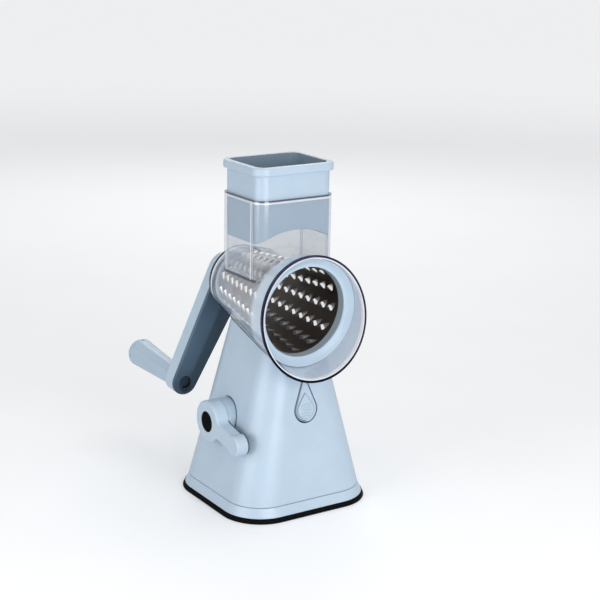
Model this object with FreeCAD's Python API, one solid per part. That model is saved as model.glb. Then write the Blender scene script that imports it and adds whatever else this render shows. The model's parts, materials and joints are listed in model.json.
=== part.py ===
import FreeCAD, Part
import math
import os

from FreeCAD import Placement, Rotation, Vector

# Rotary drum grater on a suction foot. Lengths are in millimetres, angles in degrees.
# The origin is the middle of the foot on the table, +Z is up, the mouth of the barrel looks
# along -Y, the locking lever is on the -X side and the crank is at +Y.

# Rubber foot
FOOT_WIDTH = 130.0
FOOT_DEPTH = 126.6
FOOT_CORNER = 34.4
FOOT_RIM_HEIGHT = 4.1
FOOT_RIM_INSET = 2.0
FOOT_LIP_WIDTH = 10.0
FOOT_HOLLOW = 1.2
DOME_RADIUS = 48.0
DOME_TOP_RADIUS = 15.0
UPSTAND_INSET = 8.2
UPSTAND_WALL = 3.0
UPSTAND_HEIGHT = 4.4

# Skirt of the base
SKIRT_HEIGHT = 7.4
SKIRT_TOP_INSET = 5.4
SKIRT_WALL_INSET = 8.0
FLANGE_THICKNESS = 3.1
FLANGE_OPENING_RADIUS = 34.0
GROOVE_DEPTH = 1.2
GROOVE_HEIGHT = 0.6

# Column of the base
COLUMN_TOP_WIDTH = 64.0
COLUMN_TOP_DEPTH = 86.0
COLUMN_TOP_CORNER = 20.0
COLUMN_TOP_HEIGHT = 120.0
COLUMN_WALL = 2.6
CRADLE_GAP = 0.4
SCREW_SIDE_INSET = 22.0
SCREW_END_INSET = 21.3
SCREW_RADIUS = 1.5
SCREW_LENGTH = 17.0
SCREW_HEAD_RADIUS = 3.4
SCREW_HEAD_HEIGHT = 2.4
SCREW_BOSS_RADIUS = 4.5
SCREW_BOSS_LENGTH = 22.0
GUIDE_WEB_HEIGHT = 28.0
GUIDE_WEB_THICKNESS = 3.0
GUIDE_WEB_WIDTH = 14.0

# Locking lever, its shaft and the yoke that its cam lifts
SHAFT_Y = 4.0
SHAFT_HEIGHT = 69.5
SHAFT_RADIUS = 8.6
SHAFT_INNER_RADIUS = 5.0
SHAFT_END = 23.0
CAM_RADIUS = 6.5
JOURNAL_BEYOND_BOSS = 4.0
CAM_END = 8.0
STROKE = 3.0
LEVER_SWING = 120.0
YOKE_THICKNESS = 12.0
YOKE_WALL = 3.8
YOKE_SLIP = 0.25
YOKE_NECK_RADIUS = 5.0
YOKE_NECK_LENGTH = 10.0
ROD_RADIUS = 2.5
ROD_HEAD_RADIUS = 10.0
ROD_HEAD_HEIGHT = 1.4
ROD_IN_YOKE = 8.0
LIFT_PLATE_RADIUS = 30.0
LIFT_PLATE_THICKNESS = 2.5
NUT_WIDTH = 8.0
NUT_HEIGHT = 3.0
LEVER_HUB_RADIUS = 17.3
LEVER_THICKNESS = 11.1
LEVER_REACH = 41.0
LEVER_DROOP = 11.25
LEVER_NECK_HEIGHT = 13.5
LEVER_TIP_RADIUS = 8.5
LEVER_NECK_BLEND = 6.0
LEVER_EDGE = 1.6
KEY_WIDTH = 3.0
KEY_HEIGHT = 1.5
BOSS_PROUD = 0.66
BOSS_STEP = 0.4
BOSS_LENGTH = 12.0
BUSH_WALL = 1.6
BUSH_FLANGE = 1.5
BEARING_RIB_X = 12.0
BEARING_RIB_THICKNESS = 6.0
BEARING_RIB_BELOW = 19.5
BEARING_RIB_ABOVE = 18.5
CIRCLIP_RADIUS = 7.0
CIRCLIP_THICKNESS = 1.2
CIRCLIP_GROOVE = 0.8

# Drum axis and clear barrel. Places along the axis are measured backwards from its middle.
AXIS_HEIGHT = 167.0
AXIS_TILT = 3.0
BARREL_RADIUS = 38.22
BARREL_SLOPE = 0.1713
BARREL_BACK = 58.5
BARREL_WALL = 2.0
BARREL_BOSS_WALL = 3.0
MOUTH_PLACE = -57.8
MOUTH_LEAN = 11.37
RIM_BEAD = 0.8
RIM_BEAD_WIDTH = 2.2

# Hopper and pusher
HOPPER_WIDTH = 72.5
HOPPER_DEPTH = 59.3
HOPPER_CORNER = 11.0
HOPPER_Y = -1.4
HOPPER_TOP = 253.0
HOPPER_FLOOR = 190.0
HOPPER_WALL = 1.6
PUSHER_GAP = 0.45
PUSHER_LIFT = 19.0
PUSHER_FLANGE_OUTSET = 0.75
PUSHER_FLANGE_HEIGHT = 6.5
PUSHER_FLANGE_EDGE = 1.2
PUSHER_WALL = 2.2
PUSHER_BODY_LENGTH = 53.5
PUSHER_ARCH_RISE = 9.5

# Foot of the clear housing and its socket in the column
SADDLE_WIDTH = 31.0
SADDLE_FRONT = -43.4
SADDLE_BACK = 28.0
SADDLE_HEIGHT = 114.0
TONGUE_WIDTH = 22.0
TONGUE_FRONT = -34.0
TONGUE_BACK = 24.0
TONGUE_LENGTH = 17.0
TONGUE_WALL = 2.2
SOCKET_GAP = 0.4
SOCKET_WALL = 2.2

# Release button
BUTTON_BELOW_SADDLE = 29.0
BUTTON_SLOT_RADIUS = 11.0
BUTTON_NECK = 3.3
BUTTON_NECK_RISE = 22.0
BUTTON_TOP_RISE = 26.0
BUTTON_GAP = 0.9
BUTTON_SINK = 0.6
BUTTON_THICKNESS = 2.4
PAD_RADIUS = 7.6
PAD_RISE = 13.4
PAD_THICKNESS = 0.7
RIDGE_COUNT = 5
RIDGE_PITCH = 2.3
RIDGE_LENGTH = 8.5
RIDGE_WIDTH = 1.0
RIDGE_HEIGHT = 0.5
PIN_ABOVE_BUTTON = 9.0
PIN_DEPTH_BEHIND_WALL = 1.7
PIN_RADIUS = 1.25
CAGE_HALF_WIDTH = 11.2
CAGE_WALL = 2.2
CAGE_BACK = -33.0
CAGE_BELOW_BUTTON = 9.0
CAGE_ABOVE_BUTTON = 13.0
HOOK_GRIP = 1.2
HOOK_BELOW_SADDLE = 5.0
HOOK_HEIGHT = 3.5
KNUCKLE_WIDTH = 12.0
KNUCKLE_HEIGHT = 5.6

# Steel drum, its front ring and its hub
DRUM_RADIUS = 31.6
DRUM_SLOPE = 0.14
DRUM_FRONT = -42.5
DRUM_BACK = 48.0
DRUM_SHEET = 0.8
TOOTH_ROWS = 13
TEETH_PER_ROW = 9
TOOTH_FIRST = -31.2
TOOTH_PITCH = 9.1
TOOTH_ROW_ANGLE = 11.1
TOOTH_LENGTH = 7.0
TOOTH_HALF_WIDTH = 3.0
TOOTH_HEIGHT = 1.7
TOOTH_WALL = 0.6
TOOTH_TAIL_WALL = 1.2
TOOTH_SLANT = 41.0
TOOTH_MOUTH_RUN = 0.3
COLLAR_FRONT = -48.3
COLLAR_BACK = -40.0
COLLAR_GAP = 0.5
COLLAR_LIP = 1.0
COLLAR_RING_WIDTH = 1.6
HUB_DISC_THICKNESS = 3.0
HUB_LIP = 1.6
HUB_END_GAP = 1.5
STEM_RADIUS = 10.5
STEM_END = 68.5
HEX_WIDTH = 14.4
RUNNING_FIT = 0.1

# Crank
ARM_FRONT = 66.5
ARM_THICKNESS = 15.0
ARM_HUB_RADIUS = 17.0
ARM_END_RADIUS = 11.6
ARM_ANGLE = 26.0
THROW = 100.0
ARM_WALL = 2.4
ARM_CHANNEL_DEPTH = 9.0
ARM_EDGE = 1.0
COVER_THICKNESS = 2.0
COVER_EDGE = 1.4
COVER_PLUG = 1.2
COVER_GAP = 0.15
COVER_RIB_WIDTH = 1.4
COVER_RIB_HEIGHT = 0.3
SPIGOT_GAP = 0.2
SPIGOT_END_GAP = 2.0
STEM_POCKET_GAP = 0.4
DETENT_PLACE = 61.5
DETENT_TIP_RADIUS = 2.7
DETENT_FLANGE_RADIUS = 3.5
DETENT_FLANGE_HEIGHT = 2.0
DETENT_PROUD = 0.4
DETENT_FLOOR = -4.2
DETENT_REST_GAP = 0.6
GRIP_START_GAP = 1.3
GRIP_LENGTH = 63.4
GRIP_START_RADIUS = 9.0
GRIP_END_RADIUS = 12.3
GRIP_CAP_LENGTH = 11.0
GRIP_CAP_RIM_SHARE = 0.2
FLUTE_COUNT = 8
FLUTE_RADIUS = 2.6
FLUTE_DEPTH = 0.8
FLUTE_START = 7.0
AXLE_RADIUS = 3.5
AXLE_NECK_RADIUS = 3.0
AXLE_HEAD_RADIUS = 4.8
AXLE_HEAD_HEIGHT = 2.6
AXLE_BOSS_RADIUS = 8.0
AXLE_HOLE_IN_COVER = 5.6
AXLE_NUT_RADIUS = 6.0
AXLE_NUT_HEIGHT = 3.4
GRIP_POCKET_RADIUS = 7.0
GRIP_POCKET_DEPTH = 8.0

# Springs
LATCH_COIL_RADIUS = 2.6
LATCH_WIRE = 0.7
LATCH_TURNS = 5
DETENT_COIL_RADIUS = 2.6
DETENT_WIRE = 0.6
DETENT_TURNS = 5

# Sizes that follow from the driving dimensions
SKIRT_TOP = FOOT_RIM_HEIGHT + SKIRT_HEIGHT
COLUMN_BOTTOM = SKIRT_TOP + GROOVE_HEIGHT
FLANGE_BOTTOM = COLUMN_BOTTOM - FLANGE_THICKNESS
COLUMN_WIDTH = FOOT_WIDTH - 2 * SKIRT_TOP_INSET
COLUMN_DEPTH = FOOT_DEPTH - 2 * SKIRT_TOP_INSET
COLUMN_CORNER = FOOT_CORNER - SKIRT_TOP_INSET
SCREW_X = FOOT_WIDTH / 2 - SCREW_SIDE_INSET
SCREW_Y = FOOT_DEPTH / 2 - SCREW_END_INSET
CAM_OFFSET = STROKE / (2 * math.sin(math.radians(LEVER_SWING / 2)))
CAM_Y = SHAFT_Y + CAM_OFFSET * math.cos(math.radians(LEVER_SWING / 2))
CAM_HEIGHT = SHAFT_HEIGHT + STROKE / 2
YOKE_Y = (CAM_Y + SHAFT_Y + CAM_OFFSET) / 2
YOKE_WINDOW_WIDTH = 2 * (CAM_RADIUS + 2 * YOKE_SLIP) + (SHAFT_Y + CAM_OFFSET - CAM_Y)
YOKE_WINDOW_HEIGHT = 2 * (CAM_RADIUS + YOKE_SLIP)
YOKE_BOTTOM = CAM_HEIGHT - YOKE_WINDOW_HEIGHT / 2 - YOKE_WALL
ROD_TOP = YOKE_BOTTOM - YOKE_NECK_LENGTH + ROD_IN_YOKE
DOME_TOP = FOOT_RIM_HEIGHT + STROKE
ROD_BOTTOM = (FOOT_HOLLOW + STROKE + DOME_TOP - ROD_HEAD_HEIGHT) / 2
BOSS_LOW = SHAFT_HEIGHT - LEVER_HUB_RADIUS
BOSS_LOW_SHARE = (BOSS_LOW - COLUMN_BOTTOM) / (COLUMN_TOP_HEIGHT - COLUMN_BOTTOM)
COLUMN_SIDE = (COLUMN_WIDTH + (COLUMN_TOP_WIDTH - COLUMN_WIDTH) * BOSS_LOW_SHARE) / 2
BOSS_FACE = -COLUMN_SIDE - BOSS_PROUD
BOSS_INNER_FACE = BOSS_FACE + BOSS_LENGTH
CAM_START = BOSS_INNER_FACE + JOURNAL_BEYOND_BOSS
LEVER_INNER_FACE = BOSS_FACE - BOSS_STEP
LEVER_OUTER_FACE = LEVER_INNER_FACE - LEVER_THICKNESS
PUSHER_WIDTH = HOPPER_WIDTH - 2 * HOPPER_WALL - 2 * PUSHER_GAP
PUSHER_DEPTH = HOPPER_DEPTH - 2 * HOPPER_WALL - 2 * PUSHER_GAP
PUSHER_CORNER = HOPPER_CORNER - HOPPER_WALL - PUSHER_GAP
PUSHER_FLANGE_BOTTOM = HOPPER_TOP + PUSHER_LIFT
PUSHER_TOP = PUSHER_FLANGE_BOTTOM + PUSHER_FLANGE_HEIGHT
PUSHER_BOTTOM = PUSHER_FLANGE_BOTTOM - PUSHER_BODY_LENGTH
PUSHER_ARCH_RADIUS = ((PUSHER_WIDTH / 2) ** 2 + PUSHER_ARCH_RISE**2) / (2 * PUSHER_ARCH_RISE)
TONGUE_BOTTOM = SADDLE_HEIGHT - TONGUE_LENGTH
BUTTON_HEIGHT = SADDLE_HEIGHT - BUTTON_BELOW_SADDLE
PIN_HEIGHT = BUTTON_HEIGHT + PIN_ABOVE_BUTTON
CAGE_LOW = BUTTON_HEIGHT - CAGE_BELOW_BUTTON
CAGE_HIGH = BUTTON_HEIGHT + CAGE_ABOVE_BUTTON
HOOK_HIGH = SADDLE_HEIGHT - HOOK_BELOW_SADDLE
HOOK_LOW = HOOK_HIGH - HOOK_HEIGHT
TOOTH_MOUTH_RADIUS = (TOOTH_HALF_WIDTH**2 + TOOTH_HEIGHT**2) / (2 * TOOTH_HEIGHT)
TOOTH_DEPTH = TOOTH_MOUTH_RADIUS - TOOTH_HEIGHT
HUB_DISC_END = DRUM_BACK + HUB_DISC_THICKNESS
SPIGOT_START = HUB_DISC_END + SPIGOT_END_GAP
ARM_BACK = ARM_FRONT + ARM_THICKNESS
CHANNEL_FLOOR = ARM_FRONT + ARM_CHANNEL_DEPTH
COVER_BACK = ARM_FRONT + COVER_THICKNESS
PLUG_BACK = COVER_BACK + COVER_PLUG
HEAD_BACK = COVER_BACK + AXLE_HEAD_HEIGHT
GRIP_START = ARM_BACK + GRIP_START_GAP
GRIP_END = GRIP_START + GRIP_LENGTH
GRIP_POCKET_START = GRIP_END - GRIP_POCKET_DEPTH
HOOK_HALF_WIDTH = BUTTON_NECK - BUTTON_GAP
DETENT_SHOULDER = HEX_WIDTH / 2 - DETENT_REST_GAP
DETENT_BASE = DETENT_SHOULDER - DETENT_FLANGE_HEIGHT


# Plain shapes

QUARTER_TURN = 90.0


def box(x_low, x_high, y_low, y_high, z_low, z_high):
    """A block between two corners."""
    corner = Vector(x_low, y_low, z_low)
    return Part.makeBox(x_high - x_low, y_high - y_low, z_high - z_low, corner)


def bar_x(radius, x_low, x_high, y, z):
    """A round bar along X."""
    return Part.makeCylinder(radius, x_high - x_low, Vector(x_low, y, z), Vector(1, 0, 0))


def bar_y(radius, y_low, y_high, x, z):
    """A round bar along Y."""
    return Part.makeCylinder(radius, y_high - y_low, Vector(x, y_low, z), Vector(0, 1, 0))


def bar_z(radius, z_low, z_high, x, y):
    """A round bar along Z."""
    return Part.makeCylinder(radius, z_high - z_low, Vector(x, y, z_low), Vector(0, 0, 1))


def rounded_outline(width, depth, corner, z, y_mid=0.0):
    """A closed rectangle with round corners, level at z."""
    side_x = width / 2 - corner
    side_y = depth / 2 - corner
    centres = [(side_x, side_y), (-side_x, side_y), (-side_x, -side_y), (side_x, -side_y)]
    arcs = []
    for quarter, (x, y) in enumerate(centres):
        start = QUARTER_TURN * quarter
        middle = Vector(x, y_mid + y, z)
        arcs.append(
            Part.makeCircle(corner, middle, Vector(0, 0, 1), start, start + QUARTER_TURN)
        )
    edges = []
    for arc, following in zip(arcs, arcs[1:] + arcs[:1]):
        edges.append(arc)
        edges.append(Part.makeLine(arc.Vertexes[-1].Point, following.Vertexes[0].Point))
    return Part.Wire(edges)


def rounded_block(width, depth, corner, z_low, z_high, y_mid=0.0):
    """An upright block with round corners."""
    face = Part.Face(rounded_outline(width, depth, corner, z_low, y_mid))
    return face.extrude(Vector(0, 0, z_high - z_low))


def rounded_taper(low, high):
    """A block between two level outlines, each given as width, depth, corner and z."""
    return Part.makeLoft([rounded_outline(*low), rounded_outline(*high)], True, True)


def turned(points):
    """A solid turned about the Y axis, from its places along the axis and its radii."""
    corners = [Vector(radius, place, 0) for place, radius in points]
    face = Part.Face(Part.makePolygon(corners + corners[:1]))
    return face.revolve(Vector(0, 0, 0), Vector(0, 1, 0), 360)


def tube_y(outer, inner, y_low, y_high):
    """A round tube on the Y axis."""
    return bar_y(outer, y_low, y_high, 0, 0).cut(bar_y(inner, y_low, y_high, 0, 0))


def hexagon_y(width, y_low, y_high, x=0.0, z=0.0):
    """A hexagonal bar along Y with flats above and below."""
    radius = width / 2 / math.cos(math.radians(30))
    corners = []
    for step in range(7):
        turn = math.radians(60 * step)
        corners.append(Vector(x + radius * math.cos(turn), y_low, z + radius * math.sin(turn)))
    return Part.Face(Part.makePolygon(corners)).extrude(Vector(0, y_high - y_low, 0))


def rounded_edges(solid, radius, chosen):
    """The solid with the edges that pass the test rounded."""
    return solid.makeFillet(radius, [edge for edge in solid.Edges if chosen(edge)])


def single(shape):
    """The one solid of a boolean result, with faces that continue each other joined."""
    return shape.removeSplitter().Solids[0]


# Frames that pieces are built in


def placed(shape, frame):
    """A copy of a piece, moved with the frame that it was built in."""
    moved = shape.copy()
    moved.Placement = frame.multiply(shape.Placement)
    return moved


def on_axis(shape):
    """Moves a piece from the drum's own frame, whose Y axis is the drum's axis."""
    frame = Placement(Vector(0, 0, AXIS_HEIGHT), Rotation(Vector(1, 0, 0), AXIS_TILT))
    return placed(shape, frame)


def along_arm(shape):
    """Turns a piece of the crank that was built hanging straight down."""
    return placed(shape, Placement(Vector(0, 0, 0), Rotation(Vector(0, 1, 0), ARM_ANGLE)))


def column_slope():
    """How far the column's front face leans back for each millimetre of height."""
    rise = COLUMN_TOP_HEIGHT - COLUMN_BOTTOM
    return (COLUMN_DEPTH - COLUMN_TOP_DEPTH) / 2 / rise


def front_face(z):
    """Y of the column's front face at a height."""
    return -COLUMN_DEPTH / 2 + (z - COLUMN_BOTTOM) * column_slope()


def on_front(shape):
    """Moves a piece built against the plane y = 0 onto the column's leaning front face."""
    lean = -math.degrees(math.atan(column_slope()))
    origin = Vector(0, front_face(BUTTON_HEIGHT), BUTTON_HEIGHT)
    return placed(shape, Placement(origin, Rotation(Vector(1, 0, 0), lean)))


def column_section(z, inset):
    """Width, depth, corner and z of the column at a height, taken in by an inset."""
    share = (z - COLUMN_BOTTOM) / (COLUMN_TOP_HEIGHT - COLUMN_BOTTOM)
    width = COLUMN_WIDTH + (COLUMN_TOP_WIDTH - COLUMN_WIDTH) * share
    depth = COLUMN_DEPTH + (COLUMN_TOP_DEPTH - COLUMN_DEPTH) * share
    corner = COLUMN_CORNER + (COLUMN_TOP_CORNER - COLUMN_CORNER) * share
    return width - 2 * inset, depth - 2 * inset, corner - inset, z


def barrel_radius(place):
    """Outer radius of the clear barrel."""
    return BARREL_RADIUS - BARREL_SLOPE * place


def drum_radius(place):
    """Outer radius of the steel drum."""
    return DRUM_RADIUS - DRUM_SLOPE * place


def barrel_cone(outset, front, back):
    """A full cone along the barrel, larger than its outside by the outset."""
    points = [
        (front, 0),
        (front, barrel_radius(front) + outset),
        (back, barrel_radius(back) + outset),
        (back, 0),
    ]
    return turned(points)


def before_mouth(setback):
    """The space in front of the leaning mouth plane, or of one further back."""
    reach = 3 * BARREL_RADIUS
    block = box(-reach, reach, -reach, 0, -reach, reach)
    lean = Rotation(Vector(1, 0, 0), -MOUTH_LEAN)
    return placed(block, Placement(Vector(0, MOUTH_PLACE + setback, 0), lean))


# Foot and base


def suction_pad():
    """Rubber foot: a rim, a thin membrane drawn up in the middle, and an upstand."""
    low = (FOOT_WIDTH, FOOT_DEPTH, FOOT_CORNER, 0.0)
    inset = 2 * FOOT_RIM_INSET
    high = (FOOT_WIDTH - inset, FOOT_DEPTH - inset, FOOT_CORNER - FOOT_RIM_INSET, FOOT_RIM_HEIGHT)
    pad = rounded_taper(low, high)
    upstand_top = FOOT_RIM_HEIGHT + UPSTAND_HEIGHT
    for edge_inset, add in ((UPSTAND_INSET, True), (UPSTAND_INSET + UPSTAND_WALL, False)):
        width = FOOT_WIDTH - 2 * edge_inset
        depth = FOOT_DEPTH - 2 * edge_inset
        corner = FOOT_CORNER - edge_inset
        block = rounded_block(width, depth, corner, FOOT_RIM_HEIGHT, upstand_top)
        pad = pad.fuse(block) if add else pad.cut(block)
    dome = Part.makeCone(DOME_RADIUS, DOME_TOP_RADIUS, STROKE, Vector(0, 0, FOOT_RIM_HEIGHT))
    pad = pad.fuse(dome)
    lip = 2 * FOOT_LIP_WIDTH
    hollow_corner = FOOT_CORNER - FOOT_LIP_WIDTH
    hollow = rounded_block(FOOT_WIDTH - lip, FOOT_DEPTH - lip, hollow_corner, 0, FOOT_HOLLOW)
    hollow = hollow.fuse(
        Part.makeCone(DOME_RADIUS, DOME_TOP_RADIUS, STROKE, Vector(0, 0, FOOT_HOLLOW))
    )
    seat = ROD_BOTTOM - RUNNING_FIT
    seat_top = ROD_BOTTOM + ROD_HEAD_HEIGHT + RUNNING_FIT
    pad = pad.cut(hollow)
    pad = pad.cut(bar_z(ROD_HEAD_RADIUS + RUNNING_FIT, seat, seat_top, 0, 0))
    return single(pad.cut(bar_z(ROD_RADIUS + RUNNING_FIT, seat, DOME_TOP + 1, 0, 0)))


def lift_plate():
    """Disc on the rod that spreads its pull over the membrane."""
    plate_top = DOME_TOP + LIFT_PLATE_THICKNESS
    plate = bar_z(LIFT_PLATE_RADIUS, DOME_TOP + RUNNING_FIT, plate_top, 0, 0)
    return plate.cut(bar_z(ROD_RADIUS + RUNNING_FIT, DOME_TOP, plate_top, 0, 0))


def pull_rod():
    """Steel rod with its head moulded into the middle of the membrane."""
    head = bar_z(ROD_HEAD_RADIUS, ROD_BOTTOM, ROD_BOTTOM + ROD_HEAD_HEIGHT, 0, 0)
    return single(head.fuse(bar_z(ROD_RADIUS, ROD_BOTTOM, ROD_TOP, 0, 0)))


def rod_nut():
    """Nut that clamps the yoke to the rod."""
    top = YOKE_BOTTOM - YOKE_NECK_LENGTH
    upright = Placement(Vector(0, 0, top - NUT_HEIGHT), Rotation(Vector(1, 0, 0), 90))
    nut = placed(hexagon_y(NUT_WIDTH, 0, NUT_HEIGHT), upright)
    return nut.cut(bar_z(ROD_RADIUS, top - NUT_HEIGHT - 1, top + 1, 0, 0))


def pull_yoke():
    """Slotted block round the cam, with a neck down to the rod."""
    half = YOKE_THICKNESS / 2
    wide = YOKE_WINDOW_WIDTH / 2
    tall = YOKE_WINDOW_HEIGHT / 2
    outer = box(
        -half, half, YOKE_Y - wide - YOKE_WALL, YOKE_Y + wide + YOKE_WALL, YOKE_BOTTOM,
        CAM_HEIGHT + tall + YOKE_WALL,
    )
    window = box(-half, half, YOKE_Y - wide, YOKE_Y + wide, CAM_HEIGHT - tall, CAM_HEIGHT + tall)
    neck_bottom = YOKE_BOTTOM - YOKE_NECK_LENGTH
    neck = bar_z(YOKE_NECK_RADIUS, neck_bottom, YOKE_BOTTOM, 0, 0)
    bore = bar_z(ROD_RADIUS, neck_bottom, ROD_TOP, 0, 0)
    return single(outer.cut(window).fuse(neck).cut(bore))


def base_skirt():
    """Lower ring of the base, with the flange that the column stands on."""
    inset = FOOT_RIM_INSET
    low = (FOOT_WIDTH - 2 * inset, FOOT_DEPTH - 2 * inset, FOOT_CORNER - inset, FOOT_RIM_HEIGHT)
    high = (COLUMN_WIDTH, COLUMN_DEPTH, COLUMN_CORNER, SKIRT_TOP)
    skirt = rounded_taper(low, high)
    inset = SKIRT_WALL_INSET
    skirt = skirt.cut(
        rounded_block(
            FOOT_WIDTH - 2 * inset, FOOT_DEPTH - 2 * inset, FOOT_CORNER - inset,
            FOOT_RIM_HEIGHT, FLANGE_BOTTOM,
        )
    )
    inset = GROOVE_DEPTH
    flange = rounded_block(
        COLUMN_WIDTH - 2 * inset, COLUMN_DEPTH - 2 * inset, COLUMN_CORNER - inset,
        FLANGE_BOTTOM, COLUMN_BOTTOM,
    )
    skirt = skirt.fuse(flange)
    skirt = skirt.cut(bar_z(FLANGE_OPENING_RADIUS, FOOT_RIM_HEIGHT, COLUMN_BOTTOM + 1, 0, 0))
    for x, y in screw_places():
        skirt = skirt.cut(
            bar_z(SCREW_RADIUS + RUNNING_FIT, FLANGE_BOTTOM - 1, COLUMN_BOTTOM + 1, x, y)
        )
    return single(skirt)


def screw_places():
    """Middles of the four screws of the base."""
    return [(x, y) for x in (-SCREW_X, SCREW_X) for y in (-SCREW_Y, SCREW_Y)]


def base_screws():
    """Four pan head screws from below the flange up into the column."""
    screws = []
    for x, y in screw_places():
        head = bar_z(SCREW_HEAD_RADIUS, FLANGE_BOTTOM - SCREW_HEAD_HEIGHT, FLANGE_BOTTOM, x, y)
        shank = bar_z(SCREW_RADIUS, FLANGE_BOTTOM, FLANGE_BOTTOM + SCREW_LENGTH, x, y)
        screws.append(single(head.fuse(shank)))
    return Part.makeCompound(screws)


def pin_y():
    """Y of the release button's pivot, just behind the front wall."""
    return front_face(PIN_HEIGHT) + COLUMN_WALL + PIN_DEPTH_BEHIND_WALL


def column_shell():
    """Tapered hollow column whose top follows the underside of the barrel."""
    peak = AXIS_HEIGHT
    outer = rounded_taper(
        column_section(COLUMN_BOTTOM, 0.0), column_section(peak, 0.0)
    )
    inner = rounded_taper(
        column_section(COLUMN_BOTTOM, COLUMN_WALL), column_section(peak, COLUMN_WALL)
    )
    reach = COLUMN_DEPTH
    cradle = on_axis(barrel_cone(CRADLE_GAP, -reach, reach))
    roof = on_axis(barrel_cone(CRADLE_GAP + COLUMN_WALL, -reach, reach))
    above = box(-reach, reach, -reach, reach, AXIS_HEIGHT - BARREL_RADIUS / 2, 2 * AXIS_HEIGHT)
    return outer.cut(cradle).cut(above), inner.cut(roof).cut(above)


def socket_blocks(grow):
    """The spaces that the housing's foot fills in the column, grown on every side."""
    saddle = box(
        -SADDLE_WIDTH / 2 - grow, SADDLE_WIDTH / 2 + grow,
        SADDLE_FRONT - grow, SADDLE_BACK + grow,
        SADDLE_HEIGHT - grow, AXIS_HEIGHT,
    )
    tongue = box(
        -TONGUE_WIDTH / 2 - grow, TONGUE_WIDTH / 2 + grow,
        TONGUE_FRONT - grow, TONGUE_BACK + grow,
        TONGUE_BOTTOM - grow, SADDLE_HEIGHT,
    )
    return saddle.fuse(tongue)


def latch_cage():
    """Two ribs behind the front wall that hold the button's pin, and its spring's seat."""
    front = front_face(CAGE_LOW)
    outer = CAGE_HALF_WIDTH + CAGE_WALL
    cage = box(-outer, outer, front, CAGE_BACK, CAGE_LOW, CAGE_HIGH)
    inner = CAGE_HALF_WIDTH
    return cage.cut(box(-inner, inner, front, CAGE_BACK - CAGE_WALL, CAGE_LOW, CAGE_HIGH))


def base_column():
    """Column of the base with its bosses, webs, socket and the slot for the button."""
    outer, inner = column_shell()
    column = outer.cut(inner)
    inside = []
    for x, y in screw_places():
        inside.append(
            bar_z(SCREW_BOSS_RADIUS, COLUMN_BOTTOM, COLUMN_BOTTOM + SCREW_BOSS_LENGTH, x, y)
        )
    half_web = GUIDE_WEB_WIDTH / 2
    web_top = GUIDE_WEB_HEIGHT + GUIDE_WEB_THICKNESS
    reach = COLUMN_DEPTH
    inside.append(box(-half_web, half_web, -reach, reach, GUIDE_WEB_HEIGHT, web_top))
    rib_far = BEARING_RIB_X + BEARING_RIB_THICKNESS
    rib_low = SHAFT_HEIGHT - BEARING_RIB_BELOW
    rib_high = SHAFT_HEIGHT + BEARING_RIB_ABOVE
    inside.append(box(BEARING_RIB_X, rib_far, -reach, reach, rib_low, rib_high))
    inside.append(socket_blocks(SOCKET_GAP + SOCKET_WALL))
    inside.append(latch_cage())
    column = column.fuse([piece.common(outer) for piece in inside])
    boss_radius = LEVER_HUB_RADIUS - BOSS_STEP
    boss = bar_x(boss_radius, BOSS_FACE, BOSS_INNER_FACE, SHAFT_Y, SHAFT_HEIGHT)
    column = column.fuse(boss)
    bores = [
        bar_x(SHAFT_RADIUS + BUSH_WALL, BOSS_FACE - 1, BOSS_INNER_FACE + 1, SHAFT_Y, SHAFT_HEIGHT),
        bar_x(
            SHAFT_INNER_RADIUS + BUSH_WALL, BEARING_RIB_X - 1, rib_far + 1, SHAFT_Y, SHAFT_HEIGHT
        ),
        bar_z(ROD_RADIUS + 3 * RUNNING_FIT, GUIDE_WEB_HEIGHT - 1, web_top + 1, 0, 0),
        socket_blocks(SOCKET_GAP),
        on_front(drop_block(BUTTON_SLOT_RADIUS, BUTTON_NECK, BUTTON_NECK_RISE, BUTTON_TOP_RISE,
                            -COLUMN_WALL, 2 * COLUMN_WALL)),
        bar_x(PIN_RADIUS, -reach, reach, pin_y(), PIN_HEIGHT).common(latch_cage()),
        hook_window(),
    ]
    for x, y in screw_places():
        bores.append(
            bar_z(
                SCREW_RADIUS + RUNNING_FIT, COLUMN_BOTTOM - 1,
                FLANGE_BOTTOM + SCREW_LENGTH + 1, x, y,
            )
        )
    return single(column.cut(bores))


def hook_window():
    """Opening in the socket's front wall that the button's hook reaches through."""
    half = HOOK_HALF_WIDTH + BUTTON_GAP
    front = TONGUE_FRONT - SOCKET_GAP - SOCKET_WALL - 1
    top = SADDLE_HEIGHT - SOCKET_GAP - SOCKET_WALL
    return box(-half, half, front, TONGUE_FRONT, HOOK_LOW - 3 * BUTTON_GAP, top)


# Locking lever


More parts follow.
